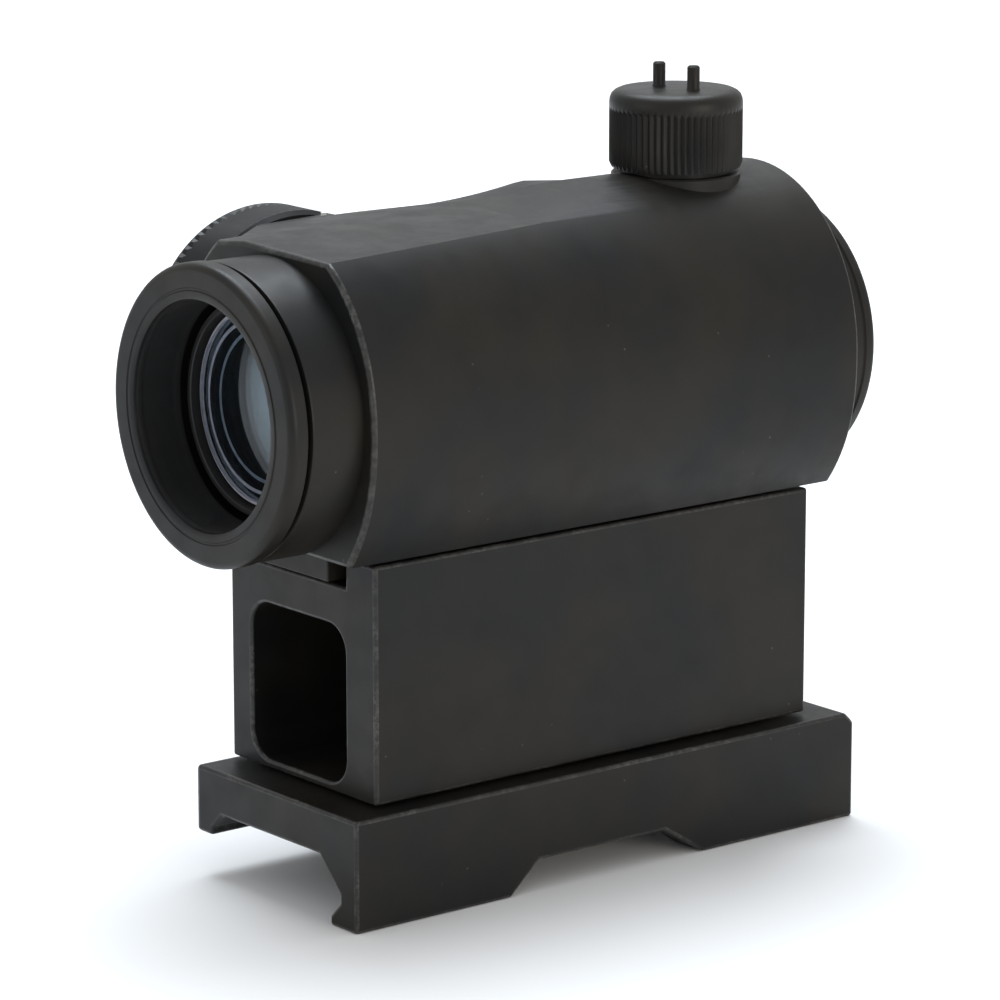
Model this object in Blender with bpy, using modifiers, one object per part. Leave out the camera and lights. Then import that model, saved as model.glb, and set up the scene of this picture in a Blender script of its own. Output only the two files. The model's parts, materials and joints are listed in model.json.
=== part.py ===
"""A compact tube reflex sight on a tall, hollow, quick-release rail mount.

Metres, +Z up. The origin is the middle of the flat that sits on the rail.
The optical axis runs along Y, with the objective end towards -Y. The rotary
switch, the windage turret and the clamp lever are on the -X side.
"""
import math

import bmesh
import bpy
from mathutils import Euler, Matrix, Vector

MM = 0.001
GAP = 0.3 * MM              # between pieces that touch
RUN = 0.3 * MM              # round a screw shank or a moving piece

# ---- rail mount -------------------------------------------------------
RAIL_HALF = 10.7 * MM       # half width of the groove that takes the rail's edge
RAIL_BEVEL = 3.1 * MM       # 45 degree slope between the rail's flat and its edge
RAIL_EDGE = 0.8 * MM        # upright part of the rail's edge
LIP_REACH = 1.5 * MM        # how far a jaw's lip reaches in under the rail
LIP_THICKNESS = 0.9 * MM
FIXED_JAW_WALL = 2.5 * MM
FAR_WALL = 1.2 * MM         # base outside the groove on the lever side
BASE_LENGTH = 60.4 * MM
WEB = 4.2 * MM              # plate between the rail and the riser
SKIRT_DROP = 2.2 * MM
NOTCH_DEPTH = 3.0 * MM      # relief along the fixed jaw, up from the jaw's lower edge
NOTCH_FLOOR = (-9.0 * MM, 6.2 * MM)
NOTCH_SLOPE = (3.3 * MM, 4.8 * MM)
LUG_Y = 20.0 * MM
LUG_WIDTH = 5.0 * MM
LUG_DROP = 2.4 * MM

# ---- riser ------------------------------------------------------------
RISER_HALF = 11.1 * MM
RISER_FRONT = -26.3 * MM
RISER_LENGTH = 52.0 * MM
RISER_HEIGHT = 22.2 * MM
WALL_FIXED_SIDE = 4.6 * MM
WALL_LEVER_SIDE = 3.2 * MM
RISER_FLOOR = 0.8 * MM
RISER_ROOF = 3.8 * MM
TUNNEL_FILLET = 2.6 * MM
KEY_DEPTH = 2.7 * MM        # slot in the riser's top for the sight's foot
KEY_SLOT_MARGIN = 1.5 * MM  # slot beyond the foot on each side

# ---- sight ------------------------------------------------------------
BEZEL_FRONT = -37.3 * MM
BEZEL_FLANGE = 1.9 * MM
BEZEL_STEP = 0.15 * MM      # the bezel's radius beyond the collar's
BEZEL_WALL = 0.55 * MM
COLLAR_GAP = 0.5 * MM
COLLAR_R = 13.65 * MM
COLLAR_WALL = 2.35 * MM
COLLAR_LENGTH = 5.6 * MM
BODY_LENGTH = 57.7 * MM
BODY_SIDE_STEP = 1.35 * MM  # the body's half width beyond the collar's radius
BODY_TOP_STEP = 3.25 * MM   # the body's crest beyond the collar's radius
COLLAR_SINK = 0.35 * MM     # the collar's lowest line below the top of the riser
FOOT_HALF = 5.1 * MM
FOOT_OVERHANG = 0.8 * MM    # foot in front of the riser
FOOT_SHORT = 1.7 * MM       # foot short of the riser's rear
REAR_RING_WALL = 2.2 * MM   # the rear ring's radius beyond the bore's
REAR_RING_LENGTH = 3.2 * MM
REAR_RING_LIP = 1.2 * MM
SEAL_SEAT = 0.9 * MM        # depth of the rebates for the end seals
SEAL_LAND = 1.0 * MM        # metal outside a rebate
SADDLE_SINK = 0.85 * MM     # the switch saddle's top below the crest
FACET_STEP = 0.65 * MM      # the top facet above the collar at the shoulder, mid width
FACET_RISE = 0.031          # slope along Y
FACET_TILT = 0.029          # slope across X
FACET_FLAT = 24.3 * MM      # straight length behind the shoulder
FACET_BEND = 8.0            # curvature where the facet runs out, per metre

# ---- optics -----------------------------------------------------------
TUBE_CLEARANCE = 1.4 * MM   # room round the inner tube for its tilt
TUBE_WALL = 1.1 * MM
TUBE_RECESS = 5.5 * MM      # tube behind the bezel's face
TUBE_REAR_ROOM = 4.1 * MM
LENS_WALL = 0.9 * MM        # tube wall round the lens seat
LENS_EDGE = 1.3 * MM
LENS_CROWN = 0.7 * MM
PIVOT_SETBACK = 4.3 * MM    # pivot collar's middle behind the shoulder
PIVOT_WIDTH = 4.0 * MM
WINDOW_SETBACK = 1.2 * MM
WINDOW_THICKNESS = 1.6 * MM

# ---- turrets ----------------------------------------------------------
TURRET_SETBACK = 10.2 * MM  # turret centre ahead of the body's rear
CAP_R = 6.35 * MM
CAP_HEIGHT = 7.4 * MM
CAP_WALL = 0.75 * MM
CAP_ROOF = 1.4 * MM
PRONG_HEIGHT = 2.3 * MM
PRONG_WIDTH = 1.2 * MM
PRONG_SPACING = 4.25 * MM
PRONG_TURN = math.radians(9.0)
NECK_HEIGHT = 5.0 * MM      # above the body's crest
NECK_WALL = 1.1 * MM
WELL_DEPTH = 4.6 * MM
DRUM_HEIGHT = 1.8 * MM
DRUM_RIM = 0.8 * MM         # width of the ring that keeps the drum in
STEM_R = 1.5 * MM
CAP_SEAL_HEIGHT = 0.8 * MM

# ---- rotary switch ----------------------------------------------------
KNOB_SETBACK = 14.2 * MM    # knob centre behind the shoulder
KNOB_RISE = 1.4 * MM        # and above the optical axis
KNOB_LENGTH = 6.3 * MM
KNOB_WALL = 2.3 * MM
KNOB_FLOOR = 1.0 * MM
BOSS_PROUD = 0.3 * MM       # boss beyond the body's side
SPINDLE_R = 3.2 * MM
SPINDLE_HEAD = 0.8 * MM
CELL_R = 10.0 * MM
CELL_THICKNESS = 3.2 * MM
CELL_ROOM = 0.5 * MM        # round the cell
CELL_CAP_THICKNESS = 1.9 * MM
BOARD_RIM = 3.4 * MM        # boss outside the switch board
BOARD_THICKNESS = 0.8 * MM
BALL_R = 0.8 * MM
DETENT_RIM = 1.7 * MM       # detent hole's centre in from the boss's edge
DETENT_DEPTH = 2.8 * MM

# ---- clamp ------------------------------------------------------------
CLAMP_HALF_LENGTH = 13.0 * MM
CLAMP_PROUD = 1.5 * MM      # moving jaw beyond the base
TONGUE_HEIGHT = 2.0 * MM
TONGUE_Y = 4.6 * MM
TONGUE_WIDTH = 3.0 * MM
CAM_R = 5.2 * MM            # with the lever closed
CAM_TRAVEL = 1.6 * MM
LEVER_SWING = math.radians(105.0)
LEVER_Y = 12.0 * MM
LEVER_LENGTH = 25.0 * MM
LEVER_ARM = 4.0 * MM
LEVER_TOP = 1.0 * MM
LEVER_THICKNESS = 4.6 * MM
LEVER_LUG = 2.4 * MM

# ---- fasteners --------------------------------------------------------
SHANK_R = 1.15 * MM
HEAD_R = 2.2 * MM
HEAD_HEIGHT = 1.5 * MM
SOCKET_R = 1.0 * MM
SOCKET_DEPTH = 0.8 * MM
THREAD_DEPTH = 3.4 * MM     # tapped depth in the sight's foot
OPTIC_SCREW_X = 2.3 * MM    # in from the foot's sides
OPTIC_SCREW_Y = (12.3 * MM, 13.7 * MM)      # in from the riser's two ends
RISER_SCREW_X = 4.7 * MM    # in from the tunnel's sides
RISER_SCREW_Y = (17.3 * MM, 14.2 * MM)

# ---- worked out from the above ----------------------------------------
RAIL_FLAT_HALF = RAIL_HALF - RAIL_BEVEL
LIP_TIP_X = RAIL_HALF - LIP_REACH
JAW_DROP = RAIL_BEVEL + RAIL_EDGE + LIP_REACH + LIP_THICKNESS
FIXED_JAW_X = RAIL_HALF + FIXED_JAW_WALL
FAR_FACE_X = -(RAIL_HALF + FAR_WALL)
CLAMP_OUTER_X = FAR_FACE_X - CLAMP_PROUD
PIVOT_X = CLAMP_OUTER_X - 1.5 * GAP - CAM_R
NOTCH_TOP = NOTCH_DEPTH - JAW_DROP
NOTCH_MOUTH = (NOTCH_FLOOR[0] - NOTCH_SLOPE[0], NOTCH_FLOOR[1] + NOTCH_SLOPE[1])

RISER_REAR = RISER_FRONT + RISER_LENGTH
RISER_BOTTOM = WEB + GAP
RISER_TOP = RISER_BOTTOM + RISER_HEIGHT
KEY_FLOOR = RISER_TOP - KEY_DEPTH
KEY_SLOT_HALF = FOOT_HALF + KEY_SLOT_MARGIN
TUNNEL_TOP = KEY_FLOOR - RISER_ROOF
TUNNEL_BOTTOM = RISER_BOTTOM + RISER_FLOOR
TUNNEL_X = (-RISER_HALF + WALL_LEVER_SIDE, RISER_HALF - WALL_FIXED_SIDE)

CELL_WELL_R = CELL_R + CELL_ROOM
KNOB_R = CELL_WELL_R + KNOB_WALL
AXIS_Z = RISER_TOP + max(COLLAR_R - COLLAR_SINK,                # the collar sits on the riser
                         KNOB_R - KNOB_RISE + GAP)              # and a large knob clears it
AXIS = (0.0, 0.0, AXIS_Z)
BEZEL_R = COLLAR_R + BEZEL_STEP
BORE_R = COLLAR_R - COLLAR_WALL
SPIGOT_R = BORE_R - GAP
BEZEL_OPENING_R = SPIGOT_R - BEZEL_WALL
REAR_RING_R = BORE_R + REAR_RING_WALL
REAR_OPENING_R = SPIGOT_R - REAR_RING_LIP
COLLAR_FRONT = BEZEL_FRONT + BEZEL_FLANGE + COLLAR_GAP
SHOULDER_Y = COLLAR_FRONT + COLLAR_LENGTH
BODY_REAR = SHOULDER_Y + BODY_LENGTH
BODY_HALF_WIDTH = COLLAR_R + BODY_SIDE_STEP
BODY_TOP = COLLAR_R + BODY_TOP_STEP
BODY_BOTTOM = RISER_TOP + GAP
BODY_DROP = AXIS_Z - BODY_BOTTOM
SIDE_SINK = BODY_TOP - BODY_HALF_WIDTH
FOOT_FRONT = RISER_FRONT - FOOT_OVERHANG
FOOT_REAR = RISER_REAR - FOOT_SHORT
FOOT_BOTTOM = KEY_FLOOR + GAP
SADDLE_TOP = BODY_TOP - SADDLE_SINK
FACET_HEIGHT = COLLAR_R + FACET_STEP
FACET_BEND_Y = SHOULDER_Y + FACET_FLAT

TUBE_R = BORE_R - TUBE_CLEARANCE
TUBE_BORE_R = TUBE_R - TUBE_WALL
LENS_R = TUBE_R - LENS_WALL
TUBE_FRONT = BEZEL_FRONT + TUBE_RECESS
TUBE_REAR = BODY_REAR - TUBE_REAR_ROOM
PIVOT_Y = SHOULDER_Y + PIVOT_SETBACK

TURRET = (0.0, BODY_REAR - TURRET_SETBACK, AXIS_Z)
NECK_R = CAP_R - CAP_WALL - GAP
DRUM_R = NECK_R - NECK_WALL - RUN
NECK_TOP = BODY_TOP + NECK_HEIGHT
CAP_BOTTOM = BODY_TOP + GAP

KNOB = (0.0, SHOULDER_Y + KNOB_SETBACK, AXIS_Z + KNOB_RISE)
BOARD_R = KNOB_R - BOARD_RIM
BOSS_END = BODY_HALF_WIDTH + BOSS_PROUD
DETENT = (0.0, KNOB[1] + KNOB_R - DETENT_RIM, KNOB[2])

OPTIC_SCREWS = [(x, y) for x in (OPTIC_SCREW_X - FOOT_HALF, FOOT_HALF - OPTIC_SCREW_X)
                for y in (RISER_FRONT + OPTIC_SCREW_Y[0], RISER_REAR - OPTIC_SCREW_Y[1])]
RISER_SCREWS = [(x, y) for x in (TUNNEL_X[0] + RISER_SCREW_X, TUNNEL_X[1] - RISER_SCREW_X)
                for y in (RISER_FRONT + RISER_SCREW_Y[0], RISER_REAR - RISER_SCREW_Y[1])]

TURN = 2.0 * math.pi
UP = (0.0, 0.0, 0.0)                    # how a turned piece's own Z axis lies
BACK = (-math.pi / 2, 0.0, 0.0)         # along +Y
SIDE = (0.0, -math.pi / 2, 0.0)         # along -X

for old in list(bpy.data.objects):
    bpy.data.objects.remove(old, do_unlink=True)
parts = bpy.data.collections.new("reflex_sight")
cutters = bpy.data.collections.new("cutters")
bpy.context.scene.collection.children.link(parts)
bpy.context.scene.collection.children.link(cutters)


# ---- helpers ----------------------------------------------------------
def finish(name, rgb, roughness, metallic):
    """A Principled material for one sub-part."""
    material = bpy.data.materials.new(name)
    material.use_nodes = True
    shader = material.node_tree.nodes["Principled BSDF"]
    shader.inputs["Base Color"].default_value = (*rgb, 1.0)
    shader.inputs["Roughness"].default_value = roughness
    shader.inputs["Metallic"].default_value = metallic
    return material


def place(name, mesh, look=None):
    """Put a mesh in the scene: as a part with a look, or as a hidden cutter."""
    thing = bpy.data.objects.new(name, mesh)
    if look is None:
        cutters.objects.link(thing)
        thing.hide_render = True
        thing.display_type = "WIRE"
    else:
        parts.objects.link(thing)
        mesh.materials.append(finish(name, *look))
    return thing


def smooth(thing, angle=math.radians(35)):
    """Shade round faces smooth and keep hard edges."""
    thing.data.shade_smooth()
    thing.data.set_sharp_from_angle(angle=angle)
    return thing


def box(name, low, high, look=None):
    """A box between two corners."""
    low = Vector(low)
    high = Vector(high)
    shape = bmesh.new()
    bmesh.ops.create_cube(shape, size=1.0)
    bmesh.ops.scale(shape, vec=high - low, verts=shape.verts)
    bmesh.ops.translate(shape, vec=(high + low) / 2, verts=shape.verts)
    mesh = bpy.data.meshes.new(name)
    shape.to_mesh(mesh)
    shape.free()
    return place(name, mesh, look)


def prism(name, outline, along, start, end, look=None):
    """An outline pushed from start to end: (x, z) along Y, (x, y) along Z, (y, z) along X."""
    curve = bpy.data.curves.new(name, "CURVE")
    curve.dimensions = "2D"
    curve.fill_mode = "BOTH"
    curve.extrude = abs(end - start) / 2
    spline = curve.splines.new("POLY")
    spline.points.add(len(outline) - 1)
    for point, (across, up) in zip(spline.points, outline):
        point.co = (across, up, 0.0, 1.0)
    spline.use_cyclic_u = True
    guide = bpy.data.objects.new(name + "_outline", curve)
    cutters.objects.link(guide)
    depsgraph = bpy.context.evaluated_depsgraph_get()
    mesh = bpy.data.meshes.new_from_object(guide.evaluated_get(depsgraph))
    bpy.data.objects.remove(guide, do_unlink=True)
    middle = (start + end) / 2
    if along == "Y":
        frame = Matrix(((1, 0, 0, 0), (0, 0, -1, middle), (0, 1, 0, 0), (0, 0, 0, 1)))
    elif along == "X":
        frame = Matrix(((0, 0, 1, middle), (1, 0, 0, 0), (0, 1, 0, 0), (0, 0, 0, 1)))
    else:
        frame = Matrix.Translation((0, 0, middle))
    shape = bmesh.new()
    shape.from_mesh(mesh)
    bmesh.ops.remove_doubles(shape, verts=shape.verts, dist=1e-6)
    bmesh.ops.recalc_face_normals(shape, faces=shape.faces)
    shape.transform(frame)
    shape.to_mesh(mesh)
    shape.free()
    return place(name, mesh, look)


def turned(name, profile, centre, lie, look=None, steps=36, ring=False):
    """A profile of (radius, height), outer side top to bottom, turned round its own Z."""
    shape = bmesh.new()
    points = [shape.verts.new((radius, 0.0, height)) for radius, height in profile]
    for first, second in zip(points, points[1:]):
        shape.edges.new((first, second))
    if ring:
        shape.edges.new((points[-1], points[0]))
    mesh = bpy.data.meshes.new(name)
    shape.to_mesh(mesh)
    shape.free()
    thing = place(name, mesh, look)
    thing.location = centre
    thing.rotation_euler = lie
    screw = thing.modifiers.new("turn", "SCREW")
    screw.axis = "Z"
    screw.steps = steps
    screw.render_steps = steps
    screw.use_merge_vertices = True
    screw.merge_threshold = 0.00001
    screw.use_smooth_shade = True
    return thing


def rod(name, radius, low, high, centre, lie, look=None, steps=24):
    """A plain round bar between two heights on its own axis."""
    profile = [(0.0, high), (radius, high), (radius, low), (0.0, low)]
    return turned(name, profile, centre, lie, look, steps)


def tube(name, outer, inner, low, high, centre, lie, look=None, steps=32):
    """A plain ring between two heights on its own axis."""
    profile = [(inner, high), (outer, high), (outer, low), (inner, low)]
    return turned(name, profile, centre, lie, look, steps, ring=True)


def combine(thing, tool, operation):
    """Cut with or add a hidden tool."""
    step = thing.modifiers.new(tool.name, "BOOLEAN")
    step.operation = operation
    step.solver = "EXACT"
    step.object = tool
    return thing


def cut(thing, tool):
    return combine(thing, tool, "DIFFERENCE")


def add(thing, tool):
    return combine(thing, tool, "UNION")


def arc(centre_u, centre_v, radius, start, end, count):
    """Points of an arc, both ends included, angles in degrees."""
    points = []
    for index in range(count + 1):
        angle = math.radians(start + (end - start) * index / count)
        points.append((centre_u + radius * math.cos(angle), centre_v + radius * math.sin(angle)))
    return points


BLACK = ((0.028, 0.028, 0.028), 0.45, 0.6)
STEEL = ((0.06, 0.06, 0.065), 0.35, 1.0)
BRIGHT = ((0.55, 0.56, 0.58), 0.28, 1.0)
BRASS = ((0.72, 0.55, 0.25), 0.32, 1.0)
RUBBER = ((0.015, 0.015, 0.015), 0.8, 0.0)
GLASS = ((0.55, 0.68, 0.75), 0.03, 0.0)
BOARD = ((0.03, 0.16, 0.07), 0.5, 0.0)
LAMP = ((0.6, 0.03, 0.02), 0.2, 0.0)


# ---- rail base --------------------------------------------------------
def groove(side):
    """The rail groove of one jaw, from the seat down to the lip; side is 1 or -1."""
    tip = RAIL_BEVEL + RAIL_EDGE + LIP_REACH
    chamfer = 0.4 * MM
    return [(side * RAIL_FLAT_HALF, 0.0), (side * RAIL_HALF, -RAIL_BEVEL),
            (side * RAIL_HALF, -RAIL_BEVEL - RAIL_EDGE), (side * LIP_TIP_X, -tip),
            (side * LIP_TIP_X, -JAW_DROP + chamfer), (side * (LIP_TIP_X + chamfer), -JAW_DROP)]


def make_rail_base():
    relief = 1.5 * MM
    skirt_inner = -(RAIL_FLAT_HALF + relief)
    outline = [(FAR_FACE_X, WEB), (FIXED_JAW_X, WEB), (FIXED_JAW_X, -JAW_DROP)]
    outline += reversed(groove(1))
    outline += [(-RAIL_FLAT_HALF, 0.0), (skirt_inner, -relief), (skirt_inner, -SKIRT_DROP),
                (FAR_FACE_X, -SKIRT_DROP)]
    base = prism("rail_base", outline, "Y", -BASE_LENGTH / 2, BASE_LENGTH / 2, BLACK)
    notch = [(NOTCH_MOUTH[0], -JAW_DROP), (NOTCH_FLOOR[0], NOTCH_TOP),
             (NOTCH_FLOOR[1], NOTCH_TOP), (NOTCH_MOUTH[1], -JAW_DROP),
             (NOTCH_MOUTH[1], -JAW_DROP - MM), (NOTCH_MOUTH[0], -JAW_DROP - MM)]
    cut(base, prism("jaw_notch", notch, "X", RAIL_FLAT_HALF, FIXED_JAW_X + MM))
    clamp_room = CLAMP_HALF_LENGTH + 2 * GAP
    cut(base, box("clamp_room", (FAR_FACE_X - MM, -clamp_room, -JAW_DROP),
                  (-RAIL_FLAT_HALF + 0.01 * MM, clamp_room, -0.001 * MM)))
    for side in (-1, 1):
        reach = TONGUE_WIDTH / 2 + RUN
        cut(base, box("tongue_slot_%d" % side,
                      (FAR_FACE_X - MM, side * TONGUE_Y - reach, -MM),
                      (-RAIL_FLAT_HALF + RUN, side * TONGUE_Y + reach, TONGUE_HEIGHT + RUN)))
    lever_lug = [(FAR_FACE_X + MM, LEVER_Y - CAM_R), (FAR_FACE_X + MM, LEVER_Y + CAM_R)]
    lever_lug += arc(PIVOT_X, LEVER_Y, CAM_R, 90, 270, 12)
    lug_bottom = LEVER_TOP + GAP
    add(base, prism("lever_lug", lever_lug, "Z", lug_bottom, lug_bottom + LEVER_LUG))
    add(base, box("recoil_lug", (-RAIL_FLAT_HALF, LUG_Y - LUG_WIDTH / 2, -LUG_DROP),
                  (RAIL_FLAT_HALF - 2 * GAP, LUG_Y + LUG_WIDTH / 2, WEB / 2)))
    for index, (x, y) in enumerate(RISER_SCREWS):
        cut(base, rod("base_hole_%d" % index, SHANK_R + RUN, -MM, WEB + MM, (x, y, 0), UP, steps=12))
    cut(base, rod("pivot_hole", SHANK_R + RUN, 0.0, WEB + 2 * MM, (PIVOT_X, LEVER_Y, 0), UP, steps=12))
    return base


# ---- riser ------------------------------------------------------------
def make_riser():
    left, right = TUNNEL_X
    fillet = TUNNEL_FILLET
    riser = box("riser", (-RISER_HALF, RISER_FRONT, RISER_BOTTOM),
                (RISER_HALF, RISER_REAR, RISER_TOP), BLACK)
    tunnel = arc(right - fillet, TUNNEL_TOP - fillet, fillet, 0, 90, 6)
    tunnel += arc(left + fillet, TUNNEL_TOP - fillet, fillet, 90, 180, 6)
    tunnel += arc(left + fillet, TUNNEL_BOTTOM + fillet, fillet, 180, 270, 6)
    tunnel += arc(right - fillet, TUNNEL_BOTTOM + fillet, fillet, 270, 360, 6)
    cut(riser, prism("tunnel", tunnel, "Y", RISER_FRONT - MM, RISER_REAR + MM))
    cut(riser, box("key_slot", (-KEY_SLOT_HALF, RISER_FRONT - MM, KEY_FLOOR),
                   (KEY_SLOT_HALF, RISER_REAR + MM, RISER_TOP + MM)))
    for index, (x, y) in enumerate(OPTIC_SCREWS):
        cut(riser, rod("roof_hole_%d" % index, SHANK_R + RUN, TUNNEL_TOP - MM, RISER_TOP,
                       (x, y, 0), UP, steps=12))
        cut(riser, rod("roof_counterbore_%d" % index, HEAD_R + RUN, TUNNEL_TOP - MM,
                       TUNNEL_TOP + HEAD_HEIGHT + GAP, (x, y, 0), UP, steps=16))
    for index, (x, y) in enumerate(RISER_SCREWS):
        cut(riser, rod("floor_hole_%d" % index, SHANK_R + RUN, 0.0, TUNNEL_BOTTOM + MM,
                       (x, y, 0), UP, steps=12))
    return riser


def socket_screw(name, x, y, seat, tip):
    """A socket cap screw on a vertical axis; the head lies on the side away from its tip."""
    way = 1.0 if seat > tip else -1.0
    head = seat + way * HEAD_HEIGHT
    floor = head - way * SOCKET_DEPTH
    profile = [(0.0, floor), (SOCKET_R, floor), (SOCKET_R, head), (HEAD_R, head),
               (HEAD_R, seat), (SHANK_R, seat), (SHANK_R, tip), (0.0, tip)]
    if way < 0:
        profile.reverse()
    return turned(name, profile, (x, y, 0.0), UP, STEEL, steps=12)


# ---- housing ----------------------------------------------------------
def body_outline():
    """Cross-section: half an ellipse above the axis, flanks that close in to the riser below."""
    points = []
    for index in range(33):
        angle = math.pi * index / 32
        points.append((BODY_HALF_WIDTH * math.cos(angle), AXIS_Z + BODY_TOP * math.sin(angle)))
    flank = []
    for index in range(1, 10):
        share = index / 9
        half = BODY_HALF_WIDTH - (BODY_HALF_WIDTH - RISER_HALF) * share ** 2.5
        flank.append((half, AXIS_Z - BODY_DROP * share))
    points += [(-x, z) for x, z in flank]
    points += reversed(flank)
    return points


def facet_line():
    """The top facet from the front: a straight slope that bends up until it clears the crest."""
    points = []
    start = SHOULDER_Y - 12 * MM
    points.append((start, AXIS_Z + FACET_HEIGHT + FACET_RISE * (start - SHOULDER_Y)))
    for index in range(12):
        run = 2.0 * MM * index
        height = FACET_HEIGHT + FACET_RISE * (FACET_BEND_Y + run - SHOULDER_Y)
        points.append((FACET_BEND_Y + run, AXIS_Z + height + FACET_BEND * run * run))
    top = AXIS_Z + BODY_TOP + 12 * MM
    points += [(points[-1][0], top), (start, top)]
    return points


def saddle_outline():
    """Plan of the flat-topped saddle that joins the switch boss to the body."""
    front = SHOULDER_Y + 0.05 * MM
    rear = TURRET[1] - CAP_R - MM
    edge = -BOSS_END + 0.2 * MM
    return [(MM, front), (-5.6 * MM, front), (edge, KNOB[1] - 6.0 * MM), (edge, KNOB[1] + 4.0 * MM),
            (-8.5 * MM, KNOB[1] + 10.0 * MM), (-8.0 * MM, rear - 6.0 * MM), (-4.0 * MM, rear), (MM, rear)]


def make_housing():
    housing = prism("housing", body_outline(), "Y", SHOULDER_Y, BODY_REAR, BLACK)
    add(housing, rod("collar", COLLAR_R, COLLAR_FRONT, SHOULDER_Y + MM, AXIS, BACK, steps=48))
    add(housing, rod("switch_boss", KNOB_R, 0.0, BOSS_END, KNOB, SIDE, steps=48))
    add(housing, prism("switch_saddle", saddle_outline(), "Z", KNOB[2], AXIS_Z + SADDLE_TOP))
    facet = prism("facet", facet_line(), "X", -40 * MM, 40 * MM)
    pivot = Matrix.Translation((0, 0, AXIS_Z + FACET_HEIGHT))
    facet.matrix_world = pivot @ Matrix.Rotation(math.atan(FACET_TILT), 4, "Y") @ pivot.inverted()
    cut(housing, facet)
    add(housing, box("foot", (-FOOT_HALF, FOOT_FRONT, FOOT_BOTTOM),
                     (FOOT_HALF, FOOT_REAR, BODY_BOTTOM + MM)))
    turrets = (("elevation", UP, NECK_TOP), ("windage", SIDE, NECK_TOP - SIDE_SINK))
    for name, lie, mouth in turrets:
        add(housing, rod(name + "_neck", NECK_R, BORE_R + 0.7 * MM, mouth, TURRET, lie, steps=40))
    rear_seal_r = REAR_RING_R - SEAL_LAND
    front_seal_r = BEZEL_R - SEAL_LAND
    bore = [(0.0, BODY_REAR + MM), (rear_seal_r, BODY_REAR + MM), (rear_seal_r, BODY_REAR - SEAL_SEAT),
            (BORE_R, BODY_REAR - SEAL_SEAT), (BORE_R, COLLAR_FRONT + SEAL_SEAT),
            (front_seal_r, COLLAR_FRONT + SEAL_SEAT), (front_seal_r, COLLAR_FRONT - MM),
            (0.0, COLLAR_FRONT - MM)]
    cut(housing, turned("bore", bore, AXIS, BACK, steps=44))
    for name, lie, mouth in turrets:
        floor = mouth - WELL_DEPTH
        well = [(0.0, mouth + MM), (DRUM_R + RUN, mouth + MM), (DRUM_R + RUN, floor),
                (STEM_R + RUN, floor), (STEM_R + RUN, BORE_R - MM), (0.0, BORE_R - MM)]
        cut(housing, turned(name + "_well", well, TURRET, lie, steps=32))
    recess_r = BOARD_R + RUN
    recess_low = BOSS_END - BOARD_THICKNESS - 2 * GAP
    hole_low = BORE_R + 1.3 * MM
    recess = [(0.0, BOSS_END + MM), (recess_r, BOSS_END + MM), (recess_r, recess_low),
              (SPINDLE_R + RUN, recess_low), (SPINDLE_R + RUN, hole_low), (0.0, hole_low)]
    cut(housing, turned("board_recess", recess, KNOB, SIDE, steps=36))
    cut(housing, rod("detent_hole", BALL_R + RUN, BOSS_END - DETENT_DEPTH, BOSS_END + MM, DETENT,
                     SIDE, steps=16))
    for index, (x, y) in enumerate(OPTIC_SCREWS):
        cut(housing, rod("foot_hole_%d" % index, SHANK_R + RUN, FOOT_BOTTOM - MM,
                         FOOT_BOTTOM + THREAD_DEPTH, (x, y, 0), UP, steps=12))
    return smooth(housing)


# ---- bezels, seals and windows ----------------------------------------
def make_ends():
    flange_rear = BEZEL_FRONT + BEZEL_FLANGE
    spigot_rear = TUBE_FRONT - GAP
    lip = BEZEL_OPENING_R
    edge = 0.5 * MM
    turned("front_bezel", [(lip, spigot_rear), (SPIGOT_R, spigot_rear), (SPIGOT_R, flange_rear),
                           (BEZEL_R, flange_rear), (BEZEL_R, BEZEL_FRONT + edge),
                           (BEZEL_R - edge, BEZEL_FRONT), (lip + 0.4 * MM, BEZEL_FRONT),
                           (lip, BEZEL_FRONT + 0.4 * MM)],
           AXIS, BACK, BLACK, steps=48, ring=True)
    seal_bore = BORE_R + 0.1 * MM
    tube("front_seal", BEZEL_R - SEAL_LAND - GAP, seal_bore, flange_rear + GAP,
         COLLAR_FRONT + SEAL_SEAT - GAP, AXIS, BACK, RUBBER, steps=36)
    ring_front = BODY_REAR + COLLAR_GAP
    ring_rear = ring_front + REAR_RING_LENGTH
    window_rear = BODY_REAR - WINDOW_SETBACK
    turned("rear_bezel", [(REAR_OPENING_R, ring_rear), (REAR_RING_R - edge, ring_rear),
                          (REAR_RING_R, ring_rear - edge), (REAR_RING_R, ring_front),
                          (SPIGOT_R, ring_front), (SPIGOT_R, window_rear + GAP),
                          (REAR_OPENING_R, window_rear + GAP)],
           AXIS, BACK, BLACK, steps=48, ring=True)
    tube("rear_seal", REAR_RING_R - SEAL_LAND - GAP, seal_bore, BODY_REAR - SEAL_SEAT + GAP,
         ring_front - GAP, AXIS, BACK, RUBBER, steps=36)
    rod("ocular_window", SPIGOT_R, window_rear - WINDOW_THICKNESS, window_rear, AXIS, BACK, GLASS,
        steps=48)


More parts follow.
